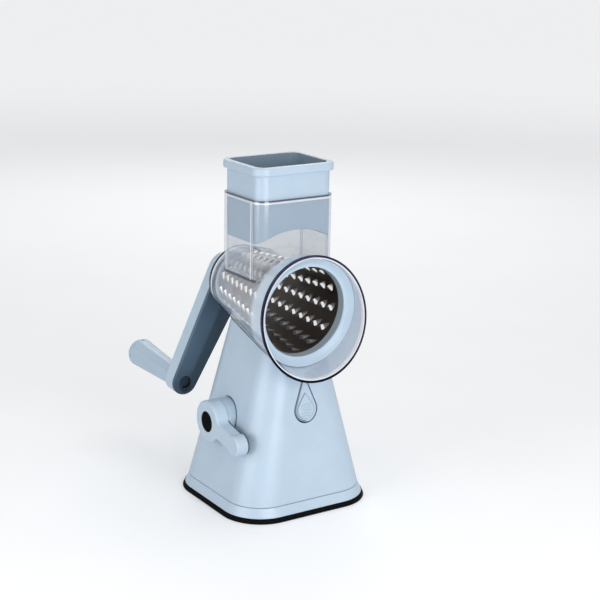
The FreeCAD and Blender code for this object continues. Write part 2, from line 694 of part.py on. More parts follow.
def suction_lever():
    """Lever: a round hub, a short neck and a round tip, seen from the side."""
    hub = bar_x(LEVER_HUB_RADIUS, LEVER_OUTER_FACE, LEVER_INNER_FACE, SHAFT_Y, SHAFT_HEIGHT)
    droop = math.radians(LEVER_DROOP)
    tip_y = SHAFT_Y - LEVER_REACH * math.cos(droop)
    tip_z = SHAFT_HEIGHT - LEVER_REACH * math.sin(droop)
    tip = bar_x(LEVER_TIP_RADIUS, LEVER_OUTER_FACE, LEVER_INNER_FACE, tip_y, tip_z)
    half = LEVER_NECK_HEIGHT / 2
    neck = box(LEVER_OUTER_FACE, LEVER_INNER_FACE, -LEVER_REACH, 0, -half, half)
    hub_middle = Vector(0, SHAFT_Y, SHAFT_HEIGHT)
    neck = placed(neck, Placement(hub_middle, Rotation(Vector(1, 0, 0), LEVER_DROOP)))
    lever = single(hub.fuse([neck, tip]))
    lever = rounded_edges(lever, LEVER_NECK_BLEND, is_hub_corner)
    lever = rounded_edges(lever, LEVER_EDGE, is_lever_face_edge)
    bore = bar_x(
        SHAFT_RADIUS + RUNNING_FIT / 2, LEVER_OUTER_FACE - 1, LEVER_INNER_FACE + 1,
        SHAFT_Y, SHAFT_HEIGHT,
    )
    return single(lever.cut([bore, shaft_key(RUNNING_FIT)]))


def is_hub_corner(edge):
    """Whether an edge is one of the two corners between the lever's hub and neck."""
    start = edge.Vertexes[0].Point
    end = edge.Vertexes[-1].Point
    along_x = abs(start.x - end.x) > LEVER_THICKNESS / 2
    level = math.hypot(start.y - SHAFT_Y, start.z - SHAFT_HEIGHT)
    return along_x and abs(level - LEVER_HUB_RADIUS) < 0.01 and start.y < SHAFT_Y - 1


def is_lever_face_edge(edge):
    """Whether an edge lies in the lever's outer face."""
    return all(abs(vertex.Point.x - LEVER_OUTER_FACE) < 0.01 for vertex in edge.Vertexes)


def shaft_key(grow):
    """Key that turns the shaft with the lever."""
    half = KEY_WIDTH / 2 + grow
    top = SHAFT_HEIGHT + SHAFT_RADIUS + KEY_HEIGHT + grow
    near = LEVER_OUTER_FACE + LEVER_THICKNESS / 4
    return box(near - grow, LEVER_INNER_FACE, SHAFT_Y - half, SHAFT_Y + half, SHAFT_HEIGHT, top)


def lever_shaft():
    """Stepped shaft: a large journal, the cam, a small journal and a circlip groove."""
    recess = LEVER_OUTER_FACE + 2 * RUNNING_FIT
    journal = bar_x(SHAFT_RADIUS, recess, CAM_START, SHAFT_Y, SHAFT_HEIGHT)
    cam = bar_x(CAM_RADIUS, CAM_START, CAM_END, CAM_Y, CAM_HEIGHT)
    small = bar_x(SHAFT_INNER_RADIUS, CAM_START, SHAFT_END, SHAFT_Y, SHAFT_HEIGHT)
    shaft = journal.fuse([cam, small, shaft_key(0.0)])
    groove_start, groove_end = circlip_span()
    groove = bar_x(2 * SHAFT_INNER_RADIUS, groove_start, groove_end, SHAFT_Y, SHAFT_HEIGHT)
    core_radius = SHAFT_INNER_RADIUS - CIRCLIP_GROOVE
    core = bar_x(core_radius, groove_start, groove_end, SHAFT_Y, SHAFT_HEIGHT)
    return single(shaft.cut(groove.cut(core)))


def circlip_span():
    """Where the circlip starts and ends along the shaft, behind the inner bush."""
    start = BEARING_RIB_X + BEARING_RIB_THICKNESS + BUSH_FLANGE + 2 * RUNNING_FIT
    return start, start + CIRCLIP_THICKNESS


def shaft_circlip():
    """Open ring in the shaft's groove."""
    start, end = circlip_span()
    inner = SHAFT_INNER_RADIUS - CIRCLIP_GROOVE + RUNNING_FIT / 2
    ring = bar_x(CIRCLIP_RADIUS, start, end, SHAFT_Y, SHAFT_HEIGHT)
    ring = ring.cut(bar_x(inner, start, end, SHAFT_Y, SHAFT_HEIGHT))
    gap = box(start, end, SHAFT_Y - inner / 2, SHAFT_Y + inner / 2, 0, SHAFT_HEIGHT)
    return single(ring.cut(gap))


def outer_bush():
    """Bearing of the large journal in the column's boss, with an inner flange."""
    end = BOSS_INNER_FACE + BUSH_FLANGE
    bush = bar_x(SHAFT_RADIUS + BUSH_WALL, BOSS_FACE, BOSS_INNER_FACE, SHAFT_Y, SHAFT_HEIGHT)
    flange = bar_x(
        SHAFT_RADIUS + 2 * BUSH_WALL, BOSS_INNER_FACE, end, SHAFT_Y, SHAFT_HEIGHT
    )
    bore = bar_x(SHAFT_RADIUS + RUNNING_FIT, BOSS_FACE - 1, end + 1, SHAFT_Y, SHAFT_HEIGHT)
    return single(bush.fuse(flange).cut(bore))


def inner_bush():
    """Bearing of the small journal in the column's rib, with an outer flange."""
    rib_far = BEARING_RIB_X + BEARING_RIB_THICKNESS
    end = rib_far + BUSH_FLANGE
    bush = bar_x(SHAFT_INNER_RADIUS + BUSH_WALL, BEARING_RIB_X, rib_far, SHAFT_Y, SHAFT_HEIGHT)
    flange = bar_x(SHAFT_INNER_RADIUS + 2 * BUSH_WALL, rib_far, end, SHAFT_Y, SHAFT_HEIGHT)
    bore = bar_x(
        SHAFT_INNER_RADIUS + RUNNING_FIT, BEARING_RIB_X - 1, end + 1, SHAFT_Y, SHAFT_HEIGHT
    )
    return single(bush.fuse(flange).cut(bore))


# Release button


def drop_block(radius, neck, neck_rise, top_rise, y_low, y_high):
    """A drop shaped block: a round bottom, tangent sides and an upright neck."""
    lean = math.atan2(neck_rise, neck) - math.acos(radius / math.hypot(neck, neck_rise))
    side = Vector(radius * math.cos(lean), y_low, radius * math.sin(lean))
    left = Vector(-side.x, y_low, side.z)
    arc = Part.Arc(side, Vector(0, y_low, -radius), left).toShape()
    path = [left]
    if neck > 0:
        path.append(Vector(-neck, y_low, neck_rise))
        path.append(Vector(-neck, y_low, top_rise))
        path.append(Vector(neck, y_low, top_rise))
        path.append(Vector(neck, y_low, neck_rise))
    else:
        path.append(Vector(0, y_low, neck_rise))
    path.append(side)
    edges = [arc] + [Part.makeLine(near, far) for near, far in zip(path, path[1:])]
    return Part.Face(Part.Wire(edges)).extrude(Vector(0, y_high - y_low, 0))


def release_button():
    """Drop shaped button with a raised ridged pad, a pivot knuckle and a hook above."""
    back = BUTTON_SINK + BUTTON_THICKNESS
    radius = BUTTON_SLOT_RADIUS - BUTTON_GAP
    neck = BUTTON_NECK - BUTTON_GAP
    top = BUTTON_TOP_RISE - BUTTON_GAP
    plate = drop_block(radius, neck, BUTTON_NECK_RISE, top, BUTTON_SINK, back)
    pad_front = BUTTON_SINK - PAD_THICKNESS
    pad = drop_block(PAD_RADIUS, 0, PAD_RISE, 0, pad_front, BUTTON_SINK)
    pieces = [pad]
    for step in range(RIDGE_COUNT):
        height = (step - (RIDGE_COUNT - 1) / 2) * RIDGE_PITCH - 1.0
        pieces.append(
            box(
                -RIDGE_LENGTH / 2, RIDGE_LENGTH / 2, pad_front - RIDGE_HEIGHT, pad_front,
                height - RIDGE_WIDTH / 2, height + RIDGE_WIDTH / 2,
            )
        )
    button = on_front(plate.fuse(pieces))
    pivot_y = pin_y()
    half = KNUCKLE_WIDTH / 2
    low = PIN_HEIGHT - KNUCKLE_HEIGHT / 2
    high = PIN_HEIGHT + KNUCKLE_HEIGHT / 2
    wall_back = front_face(PIN_HEIGHT) + back
    knuckle = box(-half, half, wall_back - 1, pivot_y + KNUCKLE_HEIGHT / 2, low, high)
    half = HOOK_HALF_WIDTH
    neck_back = TONGUE_FRONT - SOCKET_GAP - SOCKET_WALL - 2 * BUTTON_GAP
    arm = box(-half, half, wall_back, neck_back, PIN_HEIGHT, HOOK_HIGH)
    hook = box(-half, half, wall_back, TONGUE_FRONT + HOOK_GRIP, HOOK_LOW, HOOK_HIGH)
    peg_low = front_face(BUTTON_HEIGHT) + back - 0.5
    peg = bar_y(LATCH_COIL_RADIUS - LATCH_WIRE, peg_low, peg_low + 2.5, 0, BUTTON_HEIGHT)
    button = button.fuse([knuckle, arm, hook, peg])
    pin_hole = bar_x(PIN_RADIUS + RUNNING_FIT, -BUTTON_SLOT_RADIUS, BUTTON_SLOT_RADIUS,
                     pivot_y, PIN_HEIGHT)
    return single(button.cut(pin_hole))


def latch_pin():
    """Steel pin that the release button turns on."""
    half = CAGE_HALF_WIDTH + CAGE_WALL
    return bar_x(PIN_RADIUS, -half, half, pin_y(), PIN_HEIGHT)


def helix_point(radius, pitch, quarter):
    """Point and unit direction of a helix about Z after some quarter turns."""
    turn = math.radians(90 * quarter)
    point = Vector(radius * math.cos(turn), radius * math.sin(turn), pitch * quarter / 4)
    rise = pitch / (2 * math.pi)
    direction = Vector(-radius * math.sin(turn), radius * math.cos(turn), rise)
    return point, direction.normalize()


def arc_by_corner(start, corner, end):
    """Arc that leaves the start towards a corner and reaches the end from it."""
    middle = (start + end) * 0.5
    half_chord = (end - start).Length / 2
    bend = math.acos(min(1.0, half_chord / (corner - start).Length))
    through = middle + (corner - middle) * (math.tan(bend / 2) / math.tan(bend))
    return Part.Arc(start, through, end).toShape()


def quarter_turn(start, out, end, into):
    """Two arcs that join one point and direction to the next."""
    span = end - start
    both = out + into
    spread = 2 * (1 - out.dot(into))
    lean = span.dot(both)
    reach = (-lean + math.sqrt(lean * lean + spread * span.dot(span))) / spread
    first = start + out * reach
    last = end - into * reach
    middle = (first + last) * 0.5
    return [arc_by_corner(start, first, middle), arc_by_corner(middle, last, end)]


def coil(name, radius, wire, turns, length):
    """Spring as one round tube wound about Z, from z = 0 to its length."""
    pitch = (length - wire) / turns
    edges = []
    for quarter in range(4 * turns):
        start, out = helix_point(radius, pitch, quarter)
        end, into = helix_point(radius, pitch, quarter + 1)
        edges += quarter_turn(start, out, end, into)
    path = Part.Wire(edges)
    start, out = helix_point(radius, pitch, 0)
    section = Part.Wire(Part.makeCircle(wire / 2, start, out))
    tube = path.makePipeShell([section], True, False)
    tube.translate(Vector(0, 0, wire / 2))
    print_least_gap(name, radius, pitch, turns, wire)
    return tube.Solids[0]


def print_least_gap(name, radius, pitch, turns, wire):
    """Prints the least gap between a turn of the coil and the next, measured on points."""
    points = [helix_point(radius, pitch, step / 8)[0] for step in range(32 * turns + 1)]
    least = min(
        (far - near).Length for place, near in enumerate(points) for far in points[place + 20:]
    )
    print(name, "least gap to itself", round(least - wire, 2), "mm")


def latch_spring():
    """Spring between the release button and the cage's seat."""
    lean = (LATCH_COIL_RADIUS + LATCH_WIRE) * column_slope()
    start = front_face(BUTTON_HEIGHT) + BUTTON_SINK + BUTTON_THICKNESS + lean + RUNNING_FIT
    end = CAGE_BACK - CAGE_WALL - RUNNING_FIT
    spring = coil("latch_spring", LATCH_COIL_RADIUS, LATCH_WIRE, LATCH_TURNS, end - start)
    backwards = Rotation(Vector(1, 0, 0), -90)
    return placed(spring, Placement(Vector(0, start, BUTTON_HEIGHT), backwards))


# Clear housing and pusher


def food_chamber():
    """Clear housing: a hopper, a conical barrel and the foot that stands in the column."""
    front = MOUTH_PLACE - BARREL_RADIUS
    outside = barrel_cone(0.0, front, BARREL_BACK).cut(before_mouth(0.0))
    bead = barrel_cone(RIM_BEAD, front, 0.0).cut(before_mouth(0.0))
    bead = bead.common(before_mouth(RIM_BEAD_WIDTH))
    inside = on_axis(barrel_cone(-BARREL_WALL, front, BARREL_BACK - BARREL_WALL))
    boss_start = HUB_DISC_END + HUB_END_GAP
    boss = bar_y(STEM_RADIUS + BARREL_BOSS_WALL, boss_start, BARREL_BACK, 0, 0)
    bore = bar_y(STEM_RADIUS + RUNNING_FIT, boss_start - 1, BARREL_BACK + 1, 0, 0)
    hopper = rounded_block(
        HOPPER_WIDTH, HOPPER_DEPTH, HOPPER_CORNER, HOPPER_FLOOR - HOPPER_WALL, HOPPER_TOP, HOPPER_Y
    )
    wall = 2 * HOPPER_WALL
    well = rounded_block(
        HOPPER_WIDTH - wall, HOPPER_DEPTH - wall, HOPPER_CORNER - HOPPER_WALL,
        HOPPER_FLOOR, HOPPER_TOP, HOPPER_Y,
    )
    foot = housing_foot()
    solid = on_axis(outside.fuse(bead)).fuse([hopper, foot])
    solid = solid.cut([inside, well])
    solid = solid.fuse(on_axis(boss))
    return single(solid.cut(on_axis(bore)))


def housing_foot():
    """Hollow foot under the barrel, with the window that the button's hook catches."""
    half = TONGUE_WIDTH / 2 - TONGUE_WALL
    hollow = box(
        -half, half, TONGUE_FRONT + TONGUE_WALL, TONGUE_BACK - TONGUE_WALL,
        TONGUE_BOTTOM, AXIS_HEIGHT,
    )
    front = MOUTH_PLACE - BARREL_RADIUS
    half = HOOK_HALF_WIDTH + BUTTON_GAP
    catch = box(
        -half, half, TONGUE_FRONT - 1, TONGUE_FRONT + TONGUE_WALL + 1,
        HOOK_LOW - 1, HOOK_HIGH + 2,
    )
    foot = socket_blocks(0.0)
    foot = foot.cut([hollow, catch])
    return foot.cut(on_axis(barrel_cone(-BARREL_WALL / 2, front, BARREL_BACK)))


def food_pusher():
    """Hollow pusher with a square flange and an arched floor above the drum."""
    grow = 2 * PUSHER_FLANGE_OUTSET
    flange = rounded_block(
        HOPPER_WIDTH + grow, HOPPER_DEPTH + grow, HOPPER_CORNER, PUSHER_FLANGE_BOTTOM,
        PUSHER_TOP, HOPPER_Y,
    )
    flange = rounded_edges(flange, PUSHER_FLANGE_EDGE, is_level)
    body = rounded_block(
        PUSHER_WIDTH, PUSHER_DEPTH, PUSHER_CORNER, PUSHER_BOTTOM, PUSHER_FLANGE_BOTTOM, HOPPER_Y
    )
    arch_z = PUSHER_BOTTOM + PUSHER_ARCH_RISE - PUSHER_ARCH_RADIUS
    reach = HOPPER_DEPTH
    arch = bar_y(PUSHER_ARCH_RADIUS, HOPPER_Y - reach, HOPPER_Y + reach, 0, arch_z)
    floor = bar_y(PUSHER_ARCH_RADIUS + PUSHER_WALL, HOPPER_Y - reach, HOPPER_Y + reach, 0, arch_z)
    wall = 2 * PUSHER_WALL
    hollow = rounded_block(
        PUSHER_WIDTH - wall, PUSHER_DEPTH - wall, PUSHER_CORNER - PUSHER_WALL,
        PUSHER_BOTTOM, PUSHER_TOP, HOPPER_Y,
    )
    return single(flange.fuse(body).cut(arch).cut(hollow.cut(floor)))


def is_level(edge):
    """Whether an edge lies level."""
    return abs(edge.BoundBox.ZLength) < 0.01


# Drum


def drum_cone(inset, front, back):
    """A full cone along the drum, smaller than its outside by the inset."""
    points = [
        (front, 0),
        (front, drum_radius(front) - inset),
        (back, drum_radius(back) - inset),
        (back, 0),
    ]
    return turned(points)


def tooth_cone(place, start, end, inset):
    """A stretch of a tooth's cone on top of the drum, thinner than the tooth by the inset."""
    slant = math.radians(TOOTH_SLANT)
    along = Vector(math.cos(slant), math.sin(slant), -DRUM_SLOPE * math.sin(slant)).normalize()
    tail = Vector(0, place, drum_radius(place) - TOOTH_DEPTH) - along * (TOOTH_LENGTH / 2)
    widening = (TOOTH_MOUTH_RADIUS - TOOTH_DEPTH) / TOOTH_LENGTH
    start_radius = TOOTH_DEPTH + widening * start - inset
    end_radius = TOOTH_DEPTH + widening * end - inset
    return Part.makeCone(start_radius, end_radius, end - start, tail + along * start, along)


def grating_drum():
    """Steel cone with rows of scoops that stand up to a slanting mouth, open to the inside."""
    raised = []
    hollows = []
    for row in range(TOOTH_ROWS):
        turn = TOOTH_ROW_ANGLE + row * 360 / TOOTH_ROWS
        for step in range(TEETH_PER_ROW):
            place = TOOTH_FIRST + step * TOOTH_PITCH
            scoop = tooth_cone(place, 0, TOOTH_LENGTH, 0)
            mouth = TOOTH_LENGTH + TOOTH_MOUTH_RUN
            hollow = tooth_cone(place, TOOTH_TAIL_WALL, mouth, TOOTH_WALL)
            for shape, group in ((scoop, raised), (hollow, hollows)):
                shape.rotate(Vector(0, 0, 0), Vector(0, 1, 0), turn)
                group.append(shape)
    drum = drum_cone(0, DRUM_FRONT, DRUM_BACK).fuse(raised)
    inside = drum_cone(DRUM_SHEET, DRUM_FRONT - 1, DRUM_BACK + 1)
    return single(on_axis(drum.cut([inside] + hollows)))


def drum_collar():
    """Funnel ring on the drum's mouth, inside the barrel."""
    mouth = drum_radius(DRUM_FRONT)

    def outer(place):
        return barrel_radius(place) - BARREL_WALL - COLLAR_GAP

    lip_place = DRUM_FRONT - COLLAR_RING_WIDTH
    bore = drum_radius(COLLAR_BACK) + RUNNING_FIT
    points = [
        (COLLAR_FRONT, outer(COLLAR_FRONT)),
        (COLLAR_BACK, outer(COLLAR_BACK)),
        (COLLAR_BACK, bore),
        (DRUM_FRONT, drum_radius(DRUM_FRONT) + RUNNING_FIT),
        (DRUM_FRONT, mouth - DRUM_SHEET),
        (lip_place, mouth - DRUM_SHEET),
        (lip_place, mouth + COLLAR_RING_WIDTH),
        (COLLAR_FRONT, outer(COLLAR_FRONT) - COLLAR_LIP),
    ]
    return on_axis(turned(points))


def drum_hub():
    """Rear plate of the drum and its hollow stem with the hole for the snap button."""
    disc_start = DRUM_BACK - HUB_DISC_THICKNESS / 2
    inner = drum_radius(DRUM_BACK) - DRUM_SHEET - RUNNING_FIT
    points = [
        (disc_start, 0),
        (disc_start, inner),
        (DRUM_BACK, inner),
        (DRUM_BACK, drum_radius(DRUM_BACK) + HUB_LIP),
        (HUB_DISC_END, drum_radius(DRUM_BACK) + HUB_LIP),
        (HUB_DISC_END, STEM_RADIUS),
        (STEM_END, STEM_RADIUS),
        (STEM_END, 0),
    ]
    hub = turned(points)
    bore = hexagon_y(HEX_WIDTH, HUB_DISC_END, STEM_END + 1)
    hole = Part.makeCylinder(
        DETENT_TIP_RADIUS + 3 * RUNNING_FIT, 2 * STEM_RADIUS, Vector(0, DETENT_PLACE, 0)
    )
    return single(on_axis(hub.cut([bore, hole])))


# Crank


def arm_block(inset, y_low, y_high):
    """A block with the arm's outline taken in, hanging straight down from the axis."""
    top = ARM_HUB_RADIUS - inset
    low = ARM_END_RADIUS - inset
    lean = math.asin((top - low) / THROW)
    side = Vector(math.cos(lean), 0, -math.sin(lean))
    other = Vector(-side.x, 0, side.z)
    start = Vector(0, y_low, 0)
    end = Vector(0, y_low, -THROW)
    crown = Part.Arc(start + side * top, start + Vector(0, 0, top), start + other * top)
    heel = Part.Arc(end + other * low, end - Vector(0, 0, low), end + side * low)
    edges = [
        crown.toShape(),
        Part.makeLine(start + other * top, end + other * low),
        heel.toShape(),
        Part.makeLine(end + side * low, start + side * top),
    ]
    return Part.Face(Part.Wire(edges)).extrude(Vector(0, y_high - y_low, 0))


def crank_arm():
    """Arm with a channel in its front, and the spigot that drives the drum's stem."""
    arm = arm_block(0.0, COVER_BACK, ARM_BACK)
    arm = rounded_edges(arm, ARM_EDGE, is_arm_back_edge)
    channel = arm_block(ARM_WALL, COVER_BACK - 1, CHANNEL_FLOOR)
    arm = arm.cut(channel)
    hub = bar_y(STEM_RADIUS + 3, PLUG_BACK, CHANNEL_FLOOR, 0, 0)
    boss = bar_y(AXLE_BOSS_RADIUS, HEAD_BACK, CHANNEL_FLOOR, 0, -THROW)
    neck = bar_y(AXLE_NECK_RADIUS + RUNNING_FIT / 2, HEAD_BACK - 1, ARM_BACK + 1, 0, -THROW)
    rib_half = COVER_RIB_WIDTH
    rib = box(-rib_half, rib_half, PLUG_BACK, CHANNEL_FLOOR, -THROW + AXLE_BOSS_RADIUS, 0)
    arm = along_arm(arm.fuse([hub, boss, rib]).cut(neck))
    pocket = bar_y(STEM_RADIUS + STEM_POCKET_GAP, ARM_FRONT - 1, STEM_END + STEM_POCKET_GAP, 0, 0)
    spigot = hexagon_y(HEX_WIDTH - 2 * SPIGOT_GAP, SPIGOT_START, CHANNEL_FLOOR)
    bore = bar_z(
        DETENT_FLANGE_RADIUS + 3 * RUNNING_FIT, DETENT_FLOOR, STEM_RADIUS, 0, DETENT_PLACE
    )
    return single(on_axis(arm.cut(pocket).fuse(spigot).cut(bore)))


def is_arm_back_edge(edge):
    """Whether an edge lies in the back face of the arm."""
    return all(abs(vertex.Point.y - ARM_BACK) < 0.01 for vertex in edge.Vertexes)


def is_arm_front_edge(edge):
    """Whether an edge lies in the front face of the arm's cover."""
    return all(abs(vertex.Point.y - ARM_FRONT) < 0.01 for vertex in edge.Vertexes)


def crank_arm_cover():
    """Dark front of the arm with a fine rib along it, and a plug that sits in the channel."""
    cover = rounded_edges(arm_block(0.0, ARM_FRONT, COVER_BACK), COVER_EDGE, is_arm_front_edge)
    plug = arm_block(ARM_WALL + COVER_GAP, COVER_BACK, PLUG_BACK)
    half = COVER_RIB_WIDTH / 2
    rib = box(
        -half, half, ARM_FRONT - COVER_RIB_HEIGHT, COVER_BACK,
        -THROW + AXLE_HOLE_IN_COVER + ARM_WALL, -STEM_RADIUS - ARM_WALL,
    )
    stem_hole = bar_y(STEM_RADIUS + 2 * STEM_POCKET_GAP, ARM_FRONT - 1, PLUG_BACK + 1, 0, 0)
    head_hole = bar_y(AXLE_HOLE_IN_COVER, ARM_FRONT - 1, PLUG_BACK + 1, 0, -THROW)
    return single(on_axis(along_arm(cover.fuse([plug, rib]).cut([stem_hole, head_hole]))))


def detent_button():
    """Snap button in the spigot that stands out through the stem's hole."""
    dome = DETENT_PROUD + RUNNING_FIT
    tip_top = STEM_RADIUS + DETENT_PROUD - dome
    flange = bar_z(DETENT_FLANGE_RADIUS, DETENT_BASE, DETENT_SHOULDER, 0, DETENT_PLACE)
    tip = bar_z(DETENT_TIP_RADIUS, DETENT_SHOULDER, tip_top, 0, DETENT_PLACE)
    crown = Part.makeCone(
        DETENT_TIP_RADIUS, DETENT_TIP_RADIUS - dome, dome, Vector(0, DETENT_PLACE, tip_top)
    )
    return single(on_axis(flange.fuse([tip, crown])))


def detent_spring():
    """Spring that pushes the snap button out."""
    length = DETENT_BASE - DETENT_FLOOR - 2 * RUNNING_FIT
    spring = coil("detent_spring", DETENT_COIL_RADIUS, DETENT_WIRE, DETENT_TURNS, length)
    floor = Placement(Vector(0, DETENT_PLACE, DETENT_FLOOR + RUNNING_FIT), Rotation())
    spring = placed(spring, floor)
    return on_axis(spring)


def grip_radius(place):
    """Outer radius of the grip along its length."""
    share = (place - GRIP_START) / GRIP_LENGTH
    return GRIP_START_RADIUS + (GRIP_END_RADIUS - GRIP_START_RADIUS) * share


def at_grip(shape):
    """Moves a piece built on the drum's axis to the grip's axis."""
    end_of_arm = Placement(Vector(0, 0, -THROW), Rotation())
    return on_axis(along_arm(placed(shape, end_of_arm)))


def grip_axle():
    """Shouldered screw from the arm's front through the grip."""
    pieces = [
        bar_y(AXLE_HEAD_RADIUS, COVER_BACK, HEAD_BACK, 0, 0),
        bar_y(AXLE_NECK_RADIUS, HEAD_BACK, ARM_BACK, 0, 0),
        bar_y(AXLE_RADIUS, ARM_BACK, GRIP_POCKET_START, 0, 0),
    ]
    thread_end = GRIP_POCKET_START + AXLE_NUT_HEIGHT + 1
    thread = bar_y(AXLE_NECK_RADIUS, GRIP_POCKET_START, thread_end, 0, 0)
    return at_grip(single(thread.fuse(pieces)))


def axle_washer():
    """Spacer between the arm and the grip."""
    outer = GRIP_START_RADIUS - ARM_WALL
    return at_grip(
        tube_y(outer, AXLE_RADIUS + RUNNING_FIT, ARM_BACK, GRIP_START - 3 * RUNNING_FIT)
    )


def axle_nut():
    """Nut that keeps the grip on the axle, inside the grip's end."""
    start = GRIP_POCKET_START + 3 * RUNNING_FIT
    nut = hexagon_y(2 * AXLE_NUT_RADIUS * math.cos(math.radians(30)), start,
                    start + AXLE_NUT_HEIGHT)
    return at_grip(nut.cut(bar_y(AXLE_NECK_RADIUS, start - 1, start + AXLE_NUT_HEIGHT + 1, 0, 0)))


def handle_grip():
    """Fluted grip that turns on the axle."""
    grip = turned(
        [
            (GRIP_START, 0),
            (GRIP_START, GRIP_START_RADIUS - 1),
            (GRIP_START + 1, GRIP_START_RADIUS),
            (GRIP_END, GRIP_END_RADIUS),
            (GRIP_END, 0),
        ]
    )
    rise = FLUTE_RADIUS - FLUTE_DEPTH
    flute_start = GRIP_START + FLUTE_START
    start = Vector(0, flute_start, grip_radius(flute_start) + rise)
    end = Vector(0, GRIP_END + 1, grip_radius(GRIP_END + 1) + rise)
    flutes = []
    for step in range(FLUTE_COUNT):
        flute = Part.makeCylinder(FLUTE_RADIUS, (end - start).Length, start, end - start)
        flute = flute.fuse(Part.makeSphere(FLUTE_RADIUS, start))
        flute.rotate(Vector(0, 0, 0), Vector(0, 1, 0), step * 360 / FLUTE_COUNT)
        flutes.append(flute)
    bore = bar_y(AXLE_RADIUS + RUNNING_FIT, GRIP_START - 1, GRIP_END + 1, 0, 0)
    pocket = bar_y(GRIP_POCKET_RADIUS, GRIP_POCKET_START, GRIP_END + 1, 0, 0)
    return at_grip(single(grip.cut(flutes + [bore, pocket])))


def grip_cap():
    """Domed cap with a plug that closes the grip's end."""
    rise = GRIP_CAP_LENGTH * (1 - GRIP_CAP_RIM_SHARE)
    dome_radius = (GRIP_END_RADIUS**2 + rise**2) / (2 * rise)
    tip = GRIP_END + GRIP_CAP_LENGTH
    dome = Part.makeSphere(dome_radius, Vector(0, tip - dome_radius, 0))
    cap = bar_y(GRIP_END_RADIUS, GRIP_END, tip, 0, 0).common(dome)
    plug = bar_y(GRIP_POCKET_RADIUS - RUNNING_FIT / 2, GRIP_END - 2, GRIP_END, 0, 0)
    return at_grip(single(cap.fuse(plug)))


SUB_PARTS = [
    suction_pad,
    lift_plate,
    pull_rod,
    rod_nut,
    pull_yoke,
    base_skirt,
    base_screws,
    base_column,
    suction_lever,
    lever_shaft,
    shaft_circlip,
    outer_bush,
    inner_bush,
    release_button,
    latch_pin,
    latch_spring,
    food_chamber,
    food_pusher,
    grating_drum,
    drum_collar,
    drum_hub,
    crank_arm,
    crank_arm_cover,
    detent_button,
    detent_spring,
    grip_axle,
    axle_washer,
    axle_nut,
    handle_grip,
    grip_cap,
]


def main():
    """Writes one file for each sub-part."""
    os.makedirs("parts", exist_ok=True)
    for make in SUB_PARTS:
        shape = make()
        shape.exportStep(os.path.join("parts", make.__name__ + ".step"))


main()
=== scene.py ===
import json
import math

import bmesh
import bpy
from mathutils import Matrix, Vector

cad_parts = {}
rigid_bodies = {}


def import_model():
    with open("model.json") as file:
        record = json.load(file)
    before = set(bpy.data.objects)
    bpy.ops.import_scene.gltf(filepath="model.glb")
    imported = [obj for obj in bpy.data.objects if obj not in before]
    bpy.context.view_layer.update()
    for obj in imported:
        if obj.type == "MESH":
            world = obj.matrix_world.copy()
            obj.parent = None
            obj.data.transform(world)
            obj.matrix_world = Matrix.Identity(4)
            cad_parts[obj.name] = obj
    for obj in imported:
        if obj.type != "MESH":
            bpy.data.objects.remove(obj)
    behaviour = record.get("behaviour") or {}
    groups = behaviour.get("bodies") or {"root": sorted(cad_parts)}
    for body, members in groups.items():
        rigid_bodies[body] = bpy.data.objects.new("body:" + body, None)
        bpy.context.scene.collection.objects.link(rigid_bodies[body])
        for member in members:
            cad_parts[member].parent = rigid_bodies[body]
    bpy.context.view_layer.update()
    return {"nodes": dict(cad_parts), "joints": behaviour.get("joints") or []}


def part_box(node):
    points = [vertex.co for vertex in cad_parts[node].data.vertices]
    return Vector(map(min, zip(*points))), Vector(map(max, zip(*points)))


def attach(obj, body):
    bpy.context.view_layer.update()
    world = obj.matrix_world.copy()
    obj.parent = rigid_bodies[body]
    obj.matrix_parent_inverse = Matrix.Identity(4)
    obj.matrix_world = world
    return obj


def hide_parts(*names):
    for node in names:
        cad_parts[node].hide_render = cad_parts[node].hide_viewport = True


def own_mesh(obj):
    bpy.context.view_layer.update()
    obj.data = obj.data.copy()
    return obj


bl_info = {
    "name": "Rotary drum grater",
    "version": (1, 0, 0),
    "blender": (4, 5, 0),
    "location": "3D View > Sidebar > Grater",
    "description": "Dresses a hand cranked drum grater with its finishes and moulded details",
    "category": "Object",
}

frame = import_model()
NODES = frame["nodes"]
JOINTS = {joint["name"]: joint for joint in frame["joints"]}

# Lengths are in metres. The drum's axis is that of the crank's joint.
MM = 0.001
TINY = 1e-6
DRUM_MIDDLE = Vector(JOINTS["crank_spin"]["pos_m"])
DRUM_AXIS = Vector(JOINTS["crank_spin"]["axis"])
AXIS_TILT = math.asin(DRUM_AXIS.z)
GRIP_MIDDLE = Vector(JOINTS["grip_spin"]["pos_m"])
LEVER_MIDDLE = Vector(JOINTS["lever_turn"]["pos_m"])

# Cones of the barrel and the drum: radius at the drum's middle and its loss for each metre
# towards the back. Places lie along the axis, less than 0 in front of the drum's middle. The
# barrel's mouth leans back from square to the axis.
BARREL_RADIUS = 38.22 * MM
BARREL_SLOPE = 0.1713
BARREL_WALL = 2.0 * MM
MOUTH_PLACE = -57.8 * MM
MOUTH_LEAN = math.radians(11.37)
DRUM_RADIUS = 31.6 * MM
DRUM_SLOPE = 0.14
DRUM_FRONT = -42.5 * MM
DRUM_BACK = 48.0 * MM

# Half the hopper's sides, its middle and its corners from above, and its lower end's height
HOPPER_HALF = Vector((36.25, 29.65)) * MM
HOPPER_MIDDLE = -1.4 * MM
HOPPER_CORNER = 11.0 * MM
HOPPER_FLOOR = 189.4 * MM

# Height of the release button's round end, radius of the locking lever's hub, and the crank
# arm's lean to the left of straight down
BUTTON_HEIGHT = 85.0 * MM
LEVER_HUB = 17.3 * MM
ARM_LEAN = math.radians(26.0)


